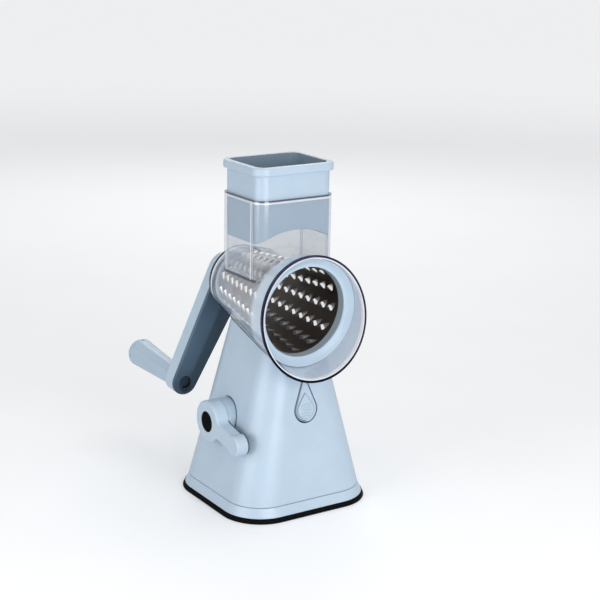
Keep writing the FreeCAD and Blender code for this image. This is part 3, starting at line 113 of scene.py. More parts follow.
def tone(red, green, blue):
    """A colour as the shaders take it, from the 0 to 255 values seen on a screen."""
    linear = []
    for value in (red, green, blue):
        share = value / 255
        linear.append(share / 12.92 if share <= 0.04045 else ((share + 0.055) / 1.055) ** 2.4)
    return tuple(linear)


# Sizes and colours that a user may change


def colour_setting(name, description, red, green, blue):
    """A colour, from the 0 to 255 values seen on a screen."""
    return bpy.props.FloatVectorProperty(
        name=name, description=description, subtype="COLOR", size=3, min=0, max=1,
        default=tone(red, green, blue),
    )


def number_setting(name, description, value, unit="LENGTH"):
    """A number with its unit."""
    return bpy.props.FloatProperty(name=name, description=description, unit=unit, default=value)


class GraterColours(bpy.types.PropertyGroup):
    """Colours of the grater's finishes."""

    blue: colour_setting(
        "Blue plastic", "Base, pusher, crank arm, lever and drum collar", 184, 203, 220)
    grip: colour_setting("Grip plastic", "Turning grip and its cap", 176, 197, 214)
    # Painted shade: the arm's insert is dark to stand in for the shade on the arm's hollow inner
    # side
    arm_shade: colour_setting("Slate insert", "Dark insert in the crank arm", 72, 92, 110)
    # Painted shade: a darker colour for the inside of the hollow pusher and its upper rim
    recess: colour_setting("Pusher recess", "Inside of the hollow pusher", 138, 157, 174)
    clear: colour_setting(
        "Clear plastic", "Housing with the hopper and the barrel", 208, 223, 240)
    # Painted shade: a dark colour for the rims of the clear housing, which read dark
    rim: colour_setting("Dark rims", "Rims of the clear housing, which read dark", 30, 38, 62)
    rubber: colour_setting("Rubber", "Suction foot", 13, 13, 15)
    steel: colour_setting("Steel", "Punched drum sheet", 200, 198, 196)


class GraterSizes(bpy.types.PropertyGroup):
    """Sizes of the details that are modelled over the fixed frame."""

    foot_edge: number_setting("Foot edge", "Rounding of the rubber foot's outer edge", 0.8 * MM)
    drum_sheet: number_setting("Drum sheet", "Thickness of the drum's steel sheet", 0.6 * MM)
    tooth_height: number_setting(
        "Tooth height", "How far the teeth stand out of the drum", 1.7 * MM)
    flute_depth: number_setting("Flute depth", "Depth of the grip's flutes", 0.8 * MM)


class GraterStage(bpy.types.PropertyGroup):
    """Camera and lamps."""

    azimuth: number_setting(
        "Camera azimuth", "Direction of the camera round the grater",
        math.radians(-32.53), "ROTATION")
    elevation: number_setting(
        "Camera elevation", "Height angle of the camera", math.radians(16.48), "ROTATION")
    roll: number_setting(
        "Camera roll", "Turn of the camera about its own view", math.radians(0.87), "ROTATION")
    distance: number_setting("Camera distance", "From the camera to the point it looks at", 1.2)
    lens: number_setting(
        "Focal length", "Focal length in millimetres on a 36 mm sensor", 87.03, "NONE")
    lamps: number_setting(
        "Lamps", "Strength of all lamps together, 1 as in the picture", 1.0, "NONE")


# Shader maths


class Wire:
    """A value in a material. Its operators add the maths nodes that work it out."""

    def __init__(self, paint, socket):
        self.paint = paint
        self.socket = socket

    def maths(self, operation, *others, clamp=False):
        """One Math node whose first value is this one."""
        settings = {"operation": operation, "use_clamp": clamp}
        return self.paint.node("Math", settings, dict(enumerate((self, *others))))

    def __add__(self, other):
        return self.maths("ADD", other)

    __radd__ = __add__

    def __sub__(self, other):
        return self.maths("SUBTRACT", other)

    def __rsub__(self, other):
        return self.paint.node("Math", {"operation": "SUBTRACT"}, {0: other, 1: self})

    def __mul__(self, other):
        return self.maths("MULTIPLY", other)

    __rmul__ = __mul__

    def __pow__(self, other):
        return self.maths("POWER", other)

    def __abs__(self):
        return self.maths("ABSOLUTE")

    def near(self, place, reach):
        """1 at a value and 0 further from it than the reach."""
        return 1.0 - abs(self - place).rises(0.6 * reach, reach)

    def rises(self, low, high):
        """0 below low, 1 above high and smooth between them."""
        settings = {"interpolation_type": "SMOOTHSTEP"}
        return self.paint.node("MapRange", settings, {0: self, 1: low, 2: high})


def hypotenuse(x, y):
    """Distance from the origin in a plane."""
    return (x ** 2.0 + y ** 2.0).maths("SQRT")


class Paint:
    """A node tree of a material or the world, filled node by node."""

    def __init__(self, owner, main="Principled BSDF"):
        owner.use_nodes = True
        self.tree = owner.node_tree
        self.owner = owner
        self.shader = self.tree.nodes[main]

    def put(self, socket, value):
        """Gives a socket a link or a plain value."""
        if isinstance(value, Wire):
            self.tree.links.new(value.socket, socket)
        elif socket.type == "RGBA" and len(value) == 3:
            socket.default_value = (*value, 1.0)
        else:
            socket.default_value = value

    def node(self, kind, settings=None, sockets=None, out=0):
        """Adds a node with its settings and its sockets' values or links."""
        made = self.tree.nodes.new("ShaderNode" + kind)
        for name, value in (settings or {}).items():
            setattr(made, name, value)
        for name, value in (sockets or {}).items():
            self.put(made.inputs[name], value)
        return Wire(self, made.outputs[out])

    def feed(self, **values):
        """Gives the main shader's sockets their links or plain values."""
        for name, value in values.items():
            self.put(self.shader.inputs[name.replace("_", " ")], value)

    def axes(self):
        """The three object coordinates as numbers, in metres."""
        place = self.node("TexCoord", out="Object")
        split = self.node("SeparateXYZ", {}, {0: place})
        return [Wire(self, socket) for socket in split.socket.node.outputs]

    def about_drum(self):
        """How far back along the drum's axis a point is, and how far out from it."""
        x, y, z = self.axes()
        back = y - DRUM_MIDDLE.y
        up = z - DRUM_MIDDLE.z
        along = back * DRUM_AXIS.y + up * DRUM_AXIS.z
        across = up * DRUM_AXIS.y - back * DRUM_AXIS.z
        return along, hypotenuse(x, across)

    def facing(self):
        """0 where the surface faces the eye and 1 where it is seen edge on."""
        return self.node("LayerWeight", {}, {"Blend": 0.5}, out="Facing")

    def ray(self, kind):
        """1 for one kind of ray, such as Camera, and 0 for others."""
        return self.node("LightPath", out=f"Is {kind} Ray")

    def noise(self, scale, detail=3.0, rough=0.5, stretch=(1.0, 1.0, 1.0)):
        """Noise from 0 to 1 with about so many features in a metre."""
        place = self.node("TexCoord", out="Object")
        place = self.node("Mapping", {}, {"Vector": place, "Scale": stretch})
        sockets = {"Vector": place, "Scale": scale, "Detail": detail, "Roughness": rough}
        return self.node("TexNoise", {}, sockets)

    def blend(self, share, low, high):
        """A mix of two colours."""
        return self.node("Mix", {"data_type": "RGBA"}, {0: share, 6: low, 7: high}, out=2)

    def soft_edges(self, radius):
        """The surface's normal, with edges that read as slightly rounded."""
        return self.node("Bevel", {"samples": 6}, {"Radius": radius})

    def edge_highlight_mask(self, rounded):
        """1 on the very edges of a piece and 0 on its faces."""
        sharp = self.node("NewGeometry", out="Normal")
        settings = {"operation": "DOT_PRODUCT"}
        same = self.node("VectorMath", settings, {0: rounded, 1: sharp}, out="Value")
        return (1.0 - same).rises(0.02, 0.22)

    def bump(self, height, distance, strength, normal=None):
        """A bump in the surface, over another normal if one is given."""
        sockets = {"Height": height, "Distance": distance, "Strength": strength}
        if normal is not None:
            sockets["Normal"] = normal
        return self.node("Bump", {}, sockets)


def scaled(colour, *factors):
    """A colour made lighter or darker by one factor, or by one each for its red, green and blue."""
    return tuple(min(1.0, value * factor) for value, factor in zip(colour, 3 * factors))


# Finishes


# Colours of painted shade and painted highlight lines at edges and gaps
EDGE_HIGHLIGHT = tone(250, 250, 254)
EDGE_SHADE = tone(96, 108, 124)
LEVER_SHADE = tone(66, 88, 102)
BUTTON_SHADE = tone(104, 124, 138)


def moulded_plastic(name, colour, edge, rough=0.30, shadow=None):
    """Satin moulded plastic: a fine grain, faint flow clouds, softened edges and a painted
    highlight on them.
    A function may give the place and the colour of a shadowed hollow or edge."""
    paint = Paint(bpy.data.materials.new(name))
    clouds = paint.noise(38.0, rough=0.55)
    grain = paint.noise(5200.0, detail=2.0, rough=0.6)
    smears = paint.noise(160.0, detail=4.0, rough=0.62, stretch=(1.0, 1.0, 0.35))
    rounded = paint.soft_edges(edge)
    shade = paint.blend(clouds.rises(0.35, 0.65), scaled(colour, 0.975), scaled(colour, 1.015))
    # Painted highlight along the rounded edges
    shade = paint.blend(paint.edge_highlight_mask(rounded) * 0.4, shade, scaled(colour, 1.14))
    if shadow is not None:
        mask, darker = shadow(paint)
        shade = paint.blend(mask, shade, darker)
    rough = rough + smears.rises(0.45, 0.75) * 0.08 + grain * 0.04
    paint.feed(Base_Color=shade, Roughness=rough, Coat_Weight=0.12, Coat_Roughness=0.12, IOR=1.49)
    paint.feed(Normal=paint.bump(grain, 0.012 * MM, 0.35, rounded))
    return paint.owner


def outside_block(x, y, half_x, half_y, corner):
    """How far outside an upright block with rounded corners a point is, less than 0 inside."""
    over_x = (abs(x) - (half_x - corner)).maths("MAXIMUM", 0.0)
    over_y = (abs(y) - (half_y - corner)).maths("MAXIMUM", 0.0)
    return hypotenuse(over_x, over_y) - corner


def pusher_recess_shade(paint):
    """Painted shade in the hollow of the pusher and on its upper rim but for the front, and its
    colour.
    """
    low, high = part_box("food_pusher")
    middle = (low + high) / 2
    half = (high - low) / 2
    wall, wall_corner = 3.9 * MM, 7.1 * MM
    rim, rim_corner = 1.1 * MM, 9.9 * MM
    floor = low.z + 10.0 * MM
    top = high.z - 1.6 * MM
    sharp, soft = 0.15 * MM, 0.5 * MM
    x, y, z = paint.axes()
    y = y - middle.y
    hollow = outside_block(x, y, half.x - wall, half.y - wall, wall_corner)
    within = (1.0 - hollow.rises(-sharp, sharp)) * z.rises(floor, floor + sharp)
    to_edge = outside_block(x, y, half.x - rim, half.y - rim, rim_corner)
    behind = y.rises(wall - half.y - sharp, wall - half.y + sharp)
    on_rim = (1.0 - to_edge.rises(-soft, soft)) * z.rises(top - 0.3 * MM, top + 0.3 * MM)
    return within.maths("MAXIMUM", on_rim * behind), bpy.context.scene.grater_colours.recess


def from_shaft(y, z):
    """Distance from the locking lever's axis."""
    return hypotenuse(y - LEVER_MIDDLE.y, z - LEVER_MIDDLE.z)


def lever_gap(paint):
    """The shadowed edge of the lever's arm next to the column, and its colour."""
    _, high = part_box("suction_lever")
    x, y, z = paint.axes()
    arm = from_shaft(y, z).rises(LEVER_HUB + 0.3 * MM, LEVER_HUB + 0.9 * MM)
    return x.rises(high.x - 1.5 * MM, high.x - 1.1 * MM) * arm, LEVER_SHADE


def lever_seat(paint):
    """The shadowed corner where the lever's round seat meets the column, and its colour."""
    x, y, z = paint.axes()
    ring = from_shaft(y, z).near(LEVER_HUB + 0.4 * MM, 0.9 * MM)
    left = 1.0 - (x - LEVER_MIDDLE.x).rises(10.0 * MM, 12.0 * MM)
    front = 1.0 - (y - LEVER_MIDDLE.y).rises(0.0, 8.0 * MM)
    upper = (z - LEVER_MIDDLE.z).rises(-11.5 * MM, -5.5 * MM)
    return ring * left * front * upper, LEVER_SHADE


def outside_drop(x, rise, radius, lean):
    """How far outside a drop shape a point is: a disc with two straight sides above it."""
    disc = hypotenuse(x, rise) - radius
    side = abs(x) * math.cos(lean) + rise * math.sin(lean) - radius
    under = abs(x) * math.sin(lean) - rise * math.cos(lean)
    return disc.maths("MINIMUM", side.maths("MAXIMUM", under))


def button_lines(paint):
    """Painted shade on the button's left edge and along the outline of its raised pad, and its
    colour.
    """
    x, _, z = paint.axes()
    rise = z - BUTTON_HEIGHT
    left = 1.0 - x.rises(-2.0 * MM, 2.0 * MM)
    edge = outside_drop(x, rise, 10.1 * MM, math.radians(21.0)).rises(-1.8 * MM, -1.2 * MM)
    pad = outside_drop(x, rise, 7.6 * MM, math.radians(34.5)).near(0.0, 0.45 * MM)
    return (edge * left).maths("MAXIMUM", pad * 0.55), BUTTON_SHADE


def shaded_arm_insert(colour):
    """Matte dark front of the crank arm, whose dark colour is painted shade for the arm's hollow
    side:
    painted light on its left half with a painted highlight along its middle line, painted shade on
    its right half and towards its lower end, and nearly black painted shade round the screw."""
    paint = Paint(bpy.data.materials.new("shaded_arm_insert"))
    x, _, z = paint.axes()
    across = x * math.cos(ARM_LEAN) - (z - DRUM_MIDDLE.z) * math.sin(ARM_LEAN)
    screw = 5.5 * MM
    outside_screw = hypotenuse(x - GRIP_MIDDLE.x, z - GRIP_MIDDLE.z) - screw
    grain = paint.noise(3800.0, rough=0.6)
    clouds = paint.noise(60.0, detail=2.0)
    # Painted light: a lit half left of the middle line and a shaded half right of it
    lit, shaded = scaled(colour, 1.40), scaled(colour, 0.74)
    shade = paint.blend(across.rises(-3.0 * MM, 3.0 * MM), lit, shaded)
    # Painted highlight along the rib in the middle
    shade = paint.blend(across.near(0.0, 0.7 * MM) * 0.5, shade, scaled(colour, 1.9))
    shade = paint.blend(clouds.rises(0.3, 0.7) * 0.25, shade, scaled(colour, 0.75))
    # Painted shade towards the lower end
    low = 1.0 - z.rises(72.0 * MM, 112.0 * MM)
    shade = paint.blend(low * 0.7, shade, scaled(colour, 0.45))
    # Nearly black painted shade in the recess round the screw
    shade = paint.blend(outside_screw.rises(-0.3 * MM, 0.3 * MM), scaled(colour, 0.22), shade)
    paint.feed(Base_Color=shade, Roughness=0.42 + grain * 0.14, IOR=1.46)
    paint.feed(Normal=paint.bump(grain, 0.03 * MM, 0.6, paint.soft_edges(0.6 * MM)))
    return paint.owner


def rubber(colour):
    """Black rubber with a fine moulded grain and a trace of dust."""
    paint = Paint(bpy.data.materials.new("black_rubber"))
    grain = paint.noise(2600.0, rough=0.65)
    dust = paint.noise(240.0, detail=5.0, rough=0.7).rises(0.58, 0.80)
    shade = paint.blend(dust * 0.20, colour, scaled(colour, 2.0))
    paint.feed(Base_Color=shade, Roughness=0.55 + grain * 0.15, IOR=1.12)
    paint.feed(Normal=paint.bump(grain, 0.03 * MM, 0.5))
    return paint.owner


def barrel_lines(paint, dark):
    """Painted shade and highlight lines on the barrel: each with its place, colour and how far it
    hides what is behind.
    """
    rim_width = 2.4 * MM
    back_edge = 54.8 * MM
    sharp = 0.1 * MM
    x, y, z = paint.axes()
    lean = MOUTH_LEAN - AXIS_TILT
    mouth = DRUM_MIDDLE + MOUTH_PLACE * DRUM_AXIS
    behind = (y - mouth.y) * math.cos(lean) - (z - mouth.z) * math.sin(lean)
    along, radius = paint.about_drum()
    proud = radius + along * BARREL_SLOPE - BARREL_RADIUS
    outlet = 1.0 - behind.rises(rim_width - sharp, rim_width + sharp)
    lower_left = 1.0 - (x + z - mouth.z).rises(-24.0 * MM, 8.0 * MM)
    skin = proud.rises(-0.9 * MM, -0.5 * MM)
    on_skin = skin * (1.0 - proud.rises(0.2 * MM, 0.6 * MM))
    below = 1.0 - z.rises(HOPPER_FLOOR + 10.0 * MM, HOPPER_FLOOR + 11.0 * MM)
    hopper = outside_block(x, y - HOPPER_MIDDLE, *HOPPER_HALF, HOPPER_CORNER)
    left = 1.0 - x.rises(-24.0 * MM, -19.0 * MM)
    foot_line = hopper.near(0.0, 1.2 * MM) * z.near(HOPPER_FLOOR, 1.7 * MM) * left
    # Painted shade where the barrel is seen edge on and along the hopper's foot, a painted
    # highlight inside the painted dark back rim, and a painted highlight inside the painted dark
    # mouth rim, which is darkest at its lower left
    return (
        (paint.facing().rises(0.82, 0.92) * below, EDGE_SHADE, 0.70),
        (foot_line, scaled(EDGE_SHADE, 0.90), 0.85),
        (along.near(back_edge - 1.4 * MM, 1.5 * MM) * on_skin, EDGE_HIGHLIGHT, 0.85),
        (along.rises(back_edge, back_edge + 2 * sharp) * on_skin, dark, 0.97),
        (outlet * proud.near(-1.6 * MM, 0.7 * MM), EDGE_HIGHLIGHT, 0.75),
        (outlet * proud.rises(-1.0 * MM - sharp, -1.0 * MM + sharp), scaled(dark, 2.6), 0.92),
        (outlet * proud.rises(-1.1 * MM - sharp, -1.1 * MM + sharp) * lower_left, dark, 0.97),
    )


def hopper_lines(paint):
    """Painted lines on the hopper: highlights on its corners, and shade on its upper edge with a
    highlight below it.
    """
    _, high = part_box("food_chamber")
    x, y, z = paint.axes()
    from_corner = abs(y - HOPPER_MIDDLE) - (HOPPER_HALF.y - HOPPER_CORNER)
    on_side = abs(x).rises(HOPPER_HALF.x - 2.6 * MM, HOPPER_HALF.x - 2.3 * MM)
    above = z.rises(HOPPER_FLOOR, HOPPER_FLOOR + 1.0 * MM)
    return (
        (from_corner.near(0.0, 0.75 * MM) * on_side * above, EDGE_HIGHLIGHT, 0.90),
        (z.near(high.z - 2.0 * MM, 0.9 * MM), EDGE_HIGHLIGHT, 0.60),
        (z.rises(high.z - 0.9 * MM, high.z - 0.7 * MM), scaled(EDGE_SHADE, 1.3), 0.85),
    )


def clear_housing(colour, dark):
    """Clear moulded plastic, grey face-on and pale at a glancing angle as a painted reflection,
    with painted shade and highlight lines on its edges.
    The flared front of the barrel is a milky blue."""
    paint = Paint(bpy.data.materials.new("clear_plastic"))
    facing = paint.facing()
    smears = paint.noise(120.0, detail=4.0, rough=0.6)
    ripple = paint.noise(90.0, detail=2.0)
    along, _ = paint.about_drum()
    x, _, z = paint.axes()
    flare = 1.0 - along.rises(-37.0 * MM, -29.0 * MM)
    in_hopper = z.rises(HOPPER_FLOOR, HOPPER_FLOOR + 2.0 * MM)
    flare = flare * (1.0 - in_hopper * along.rises(-32.0 * MM, -30.0 * MM))
    bare, milk = 0.07, 0.68
    film = bare + in_hopper * 0.10 + facing ** 3.0 * 0.52 + smears.rises(0.5, 0.8) * 0.02
    film = film + (milk - film) * flare
    # Painted reflection: grey where the plastic faces the eye, pale where it is seen edge on
    tint = paint.blend(facing.rises(0.15, 0.80), scaled(colour, 0.50), colour)
    milky = paint.blend(x.rises(-30.0 * MM, 20.0 * MM), scaled(colour, 1.18), scaled(colour, 0.98))
    tint = paint.blend(flare, tint, milky)
    dull = 0.0
    for mask, ink, hides in barrel_lines(paint, dark) + hopper_lines(paint):
        tint = paint.blend(mask, tint, ink)
        film = film + (hides - film) * mask
        if ink != EDGE_HIGHLIGHT:
            dull = mask.maths("MAXIMUM", dull)
    rough = 0.05 + smears * 0.06
    paint.feed(Base_Color=tint, Alpha=film, Roughness=rough, Metallic=dull, IOR=2.2)
    paint.feed(Normal=paint.bump(ripple, 0.05 * MM, 0.35, paint.soft_edges(0.45 * MM)))
    return paint.owner


def punched_steel(colour):
    """The drum's sheet: warm grey outside, a painted highlight on its teeth, painted shade on its
    inside and pale inside its front edge."""
    paint = Paint(bpy.data.materials.new("drum_steel"))
    along, radius = paint.about_drum()
    proud = radius + along * DRUM_SLOPE - DRUM_RADIUS
    lines = paint.noise(900.0, rough=0.6, stretch=(1.0, 0.05, 1.0))
    clouds = paint.noise(55.0)
    warmth = paint.noise(85.0, detail=2.0)
    lavender = scaled(colour, 0.98, 0.92, 1.00)
    brown = scaled(colour, 0.80, 0.69, 0.61)
    shade = paint.blend(warmth.rises(0.40, 0.60), lavender, brown)
    shade = paint.blend(clouds.rises(0.3, 0.7) * 0.5, shade, colour)
    lip_end = -37.0 * MM
    # Painted highlight: the teeth are made much brighter where they stand out of the sheet
    tooth = proud.rises(0.05 * MM, 0.35 * MM)
    shade = paint.blend(tooth, shade, scaled(colour, 1.75))
    # Painted shade: the inside of the sheet is made dark
    outer = proud.rises(-0.50 * MM, -0.40 * MM)
    shade = paint.blend(outer, scaled(brown, 0.40), shade)
    inner_lip = (1.0 - outer) * (1.0 - along.rises(lip_end - 0.5 * MM, lip_end + 0.5 * MM))
    shade = paint.blend(inner_lip, shade, tone(168, 182, 190))
    paint.feed(Base_Color=shade, Roughness=0.25 + lines * 0.14 + clouds * 0.06)
    paint.feed(Metallic=1.0 - inner_lip * 0.9 - outer * (1.0 - tooth) * 0.25)
    paint.feed(Normal=paint.bump(lines, 0.02 * MM, 0.5, paint.soft_edges(0.2 * MM)))
    return paint.owner


def plain_steel(name, colour, rough=0.22):
    """Steel with a fine grain and soft clouds in its shine."""
    paint = Paint(bpy.data.materials.new(name))
    grain = paint.noise(900.0, rough=0.6)
    clouds = paint.noise(70.0)
    shade = paint.blend(clouds.rises(0.3, 0.7), scaled(colour, 0.86), scaled(colour, 1.05))
    paint.feed(Base_Color=shade, Roughness=rough + grain * 0.14 + clouds * 0.05, Metallic=1.0)
    paint.feed(Normal=paint.bump(grain, 0.02 * MM, 0.5, paint.soft_edges(0.2 * MM)))
    return paint.owner


def plain_moulding(name, dark, light, rough=0.38, bends=1.52):
    """Unpainted plastic of a small piece, such as a bearing, a button or the lever's shaft."""
    paint = Paint(bpy.data.materials.new(name))
    grain = paint.noise(2400.0, detail=2.0, rough=0.6)
    clouds = paint.noise(140.0)
    shade = paint.blend(clouds.rises(0.3, 0.7), dark, light)
    paint.feed(Base_Color=shade, Roughness=rough + grain * 0.1, IOR=bends)
    paint.feed(Normal=paint.bump(grain, 0.02 * MM, 0.4, paint.soft_edges(0.25 * MM)))
    return paint.owner


def paint_nodes(material, *names):
    """Gives CAD nodes one finish."""
    for name in names:
        mesh = NODES[name].data
        mesh.materials.clear()
        mesh.materials.append(material)


# Modelling helpers


def fresh():
    """Leaves edit mode and deselects everything."""
    if bpy.context.object and bpy.context.object.mode != "OBJECT":
        bpy.ops.object.mode_set(mode="OBJECT")
    bpy.ops.object.select_all(action="DESELECT")


def editing(piece, name):
    """Names a new primitive and opens it in edit mode, all selected."""
    piece.name = name
    bpy.ops.object.transform_apply(location=True, rotation=True, scale=True)
    bpy.ops.object.mode_set(mode="EDIT")
    bpy.ops.mesh.select_all(action="SELECT")
    return piece


def select_where(piece, test, kind="VERT"):
    """Selects the vertices, edges or faces of a piece in edit mode that pass a test."""
    mesh = bmesh.from_edit_mesh(piece.data)
    bpy.ops.mesh.select_mode(type=kind)
    bpy.ops.mesh.select_all(action="DESELECT")
    items = {"VERT": mesh.verts, "EDGE": mesh.edges, "FACE": mesh.faces}[kind]
    for item in items:
        if test(item):
            item.select_set(True)
    bmesh.update_edit_mesh(piece.data)


def shape_points(piece, move):
    """Moves every vertex of a piece to where a function of its place says."""
    bpy.ops.object.mode_set(mode="OBJECT")
    for vertex in piece.data.vertices:
        vertex.co = move(vertex.co)
    bpy.ops.object.mode_set(mode="EDIT")


def extrude(x, y, z):
    """Extrudes what is selected."""
    bpy.ops.mesh.extrude_region_move(TRANSFORM_OT_translate={"value": (x, y, z)})


def close_mesh(doubles):
    """Merges doubles, turns the normals out and leaves edit mode."""
    bpy.ops.mesh.select_all(action="SELECT")
    bpy.ops.mesh.remove_doubles(threshold=doubles)
    bpy.ops.mesh.normals_make_consistent(inside=False)
    bpy.ops.object.mode_set(mode="OBJECT")


def extruded_rings(name, sides, rings):
    """A round piece about Z: a circle that is extruded and resized from ring to ring.
    Each ring is a height and a radius."""
    fresh()
    height, radius = rings[0]
    bpy.ops.mesh.primitive_circle_add(vertices=sides, radius=radius, location=(0, 0, height))
    piece = editing(bpy.context.object, name)
    for next_height, next_radius in rings[1:]:
        share = next_radius / radius
        extrude(0, 0, next_height - height)
        bpy.ops.transform.resize(value=(share, share, 1), center_override=(0, 0, next_height))
        height, radius = next_height, next_radius
    return piece


def finish_piece(piece, material, body, replaced, angle):
    """Closes a modelled piece and dresses it."""
    close_mesh(5 * TINY)
    dress_piece(piece, material, body, replaced, angle)


def dress_piece(piece, material, body, replaced, angle):
    """Gives a closed piece smooth shading and its finish, hangs it on the body it rides on and
    hides the
    CAD node that it replaces. Edges sharper than the angle in degrees stay sharp."""
    fresh()
    piece.select_set(True)
    bpy.context.view_layer.objects.active = piece
    bpy.ops.object.shade_smooth_by_angle(angle=math.radians(angle))
    piece.data.materials.clear()
    piece.data.materials.append(material)
    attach(piece, body)
    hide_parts(replaced)


def turn_onto_axis(piece, origin):
    """Moves a piece built about Z so that its Z runs back along an axis like the drum's."""
    lean = Matrix.Rotation(AXIS_TILT, 4, "X") @ Matrix.Rotation(math.radians(-90), 4, "X")
    place = Matrix.Translation(origin) @ lean
    shape_points(piece, lambda point: place @ point)


# Pieces


class GRATER_OT_rubber_foot(bpy.types.Operator):
    """Models the suction foot: a rounded rim, its sealing lip, an upstand and the membrane"""

    bl_idname = "grater.rubber_foot"
    bl_label = "Rubber foot"

    corner = 34.4 * MM
    rim_height = 4.1 * MM
    wall_lean = 1.2 * MM
    ledge = 6.0 * MM
    upstand = 4.4 * MM
    upstand_width = 2.6 * MM
    lip_width = 8.5 * MM
    lip_height = 1.2 * MM
    margin = 5.0 * MM
    membrane = 33.0 * MM
    membrane_rise = 3.0 * MM

    def execute(self, context):
        low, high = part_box("suction_pad")
        edge = context.scene.grater_sizes.foot_edge
        fresh()
        bpy.ops.mesh.primitive_plane_add(size=1.0, location=(0, 0, edge))
        piece = context.object
        piece.scale = (high.x - low.x, high.y - low.y, 1.0)
        editing(piece, "rubber_foot")
        bpy.ops.mesh.bevel(offset=self.corner, segments=18, affect="VERTICES")
        bpy.ops.mesh.select_all(action="SELECT")
        extrude(0, 0, 0.01 * MM)
        wall = self.rim_height - 2 * edge
        # The sloping wall and its rounded edge, a ledge, the upstand and the membrane
        self.step_inwards([
            (self.wall_lean, wall), (0.25 * edge, 0.65 * edge), (0.8 * edge, 0.35 * edge),
            (self.ledge, 0.0), (0.2 * MM, self.upstand), (self.upstand_width, 0.0),
            (0.2 * MM, -self.upstand), (self.margin, 0.0), (self.membrane, self.membrane_rise),
        ])
        select_where(piece, lambda face: face.normal.z < -0.9, "FACE")
        # The rounded edge, the sealing lip that rests on the table, and the membrane
        self.step_inwards([
            (0.3 * edge, 0.7 * edge), (0.7 * edge, 0.3 * edge), (self.lip_width, 0.0),
            (self.lip_height / 2, -self.lip_height), (self.margin, 0.0),
            (self.membrane, -self.membrane_rise),
        ])
        material = rubber(context.scene.grater_colours.rubber)
        finish_piece(piece, material, "base", "suction_pad", angle=40.0)
        return {"FINISHED"}

    @staticmethod
    def step_inwards(steps):
        """Insets the selected face again and again, each time with its width and rise."""
        for width, rise in steps:
            bpy.ops.mesh.inset(thickness=width, depth=rise, use_even_offset=True)


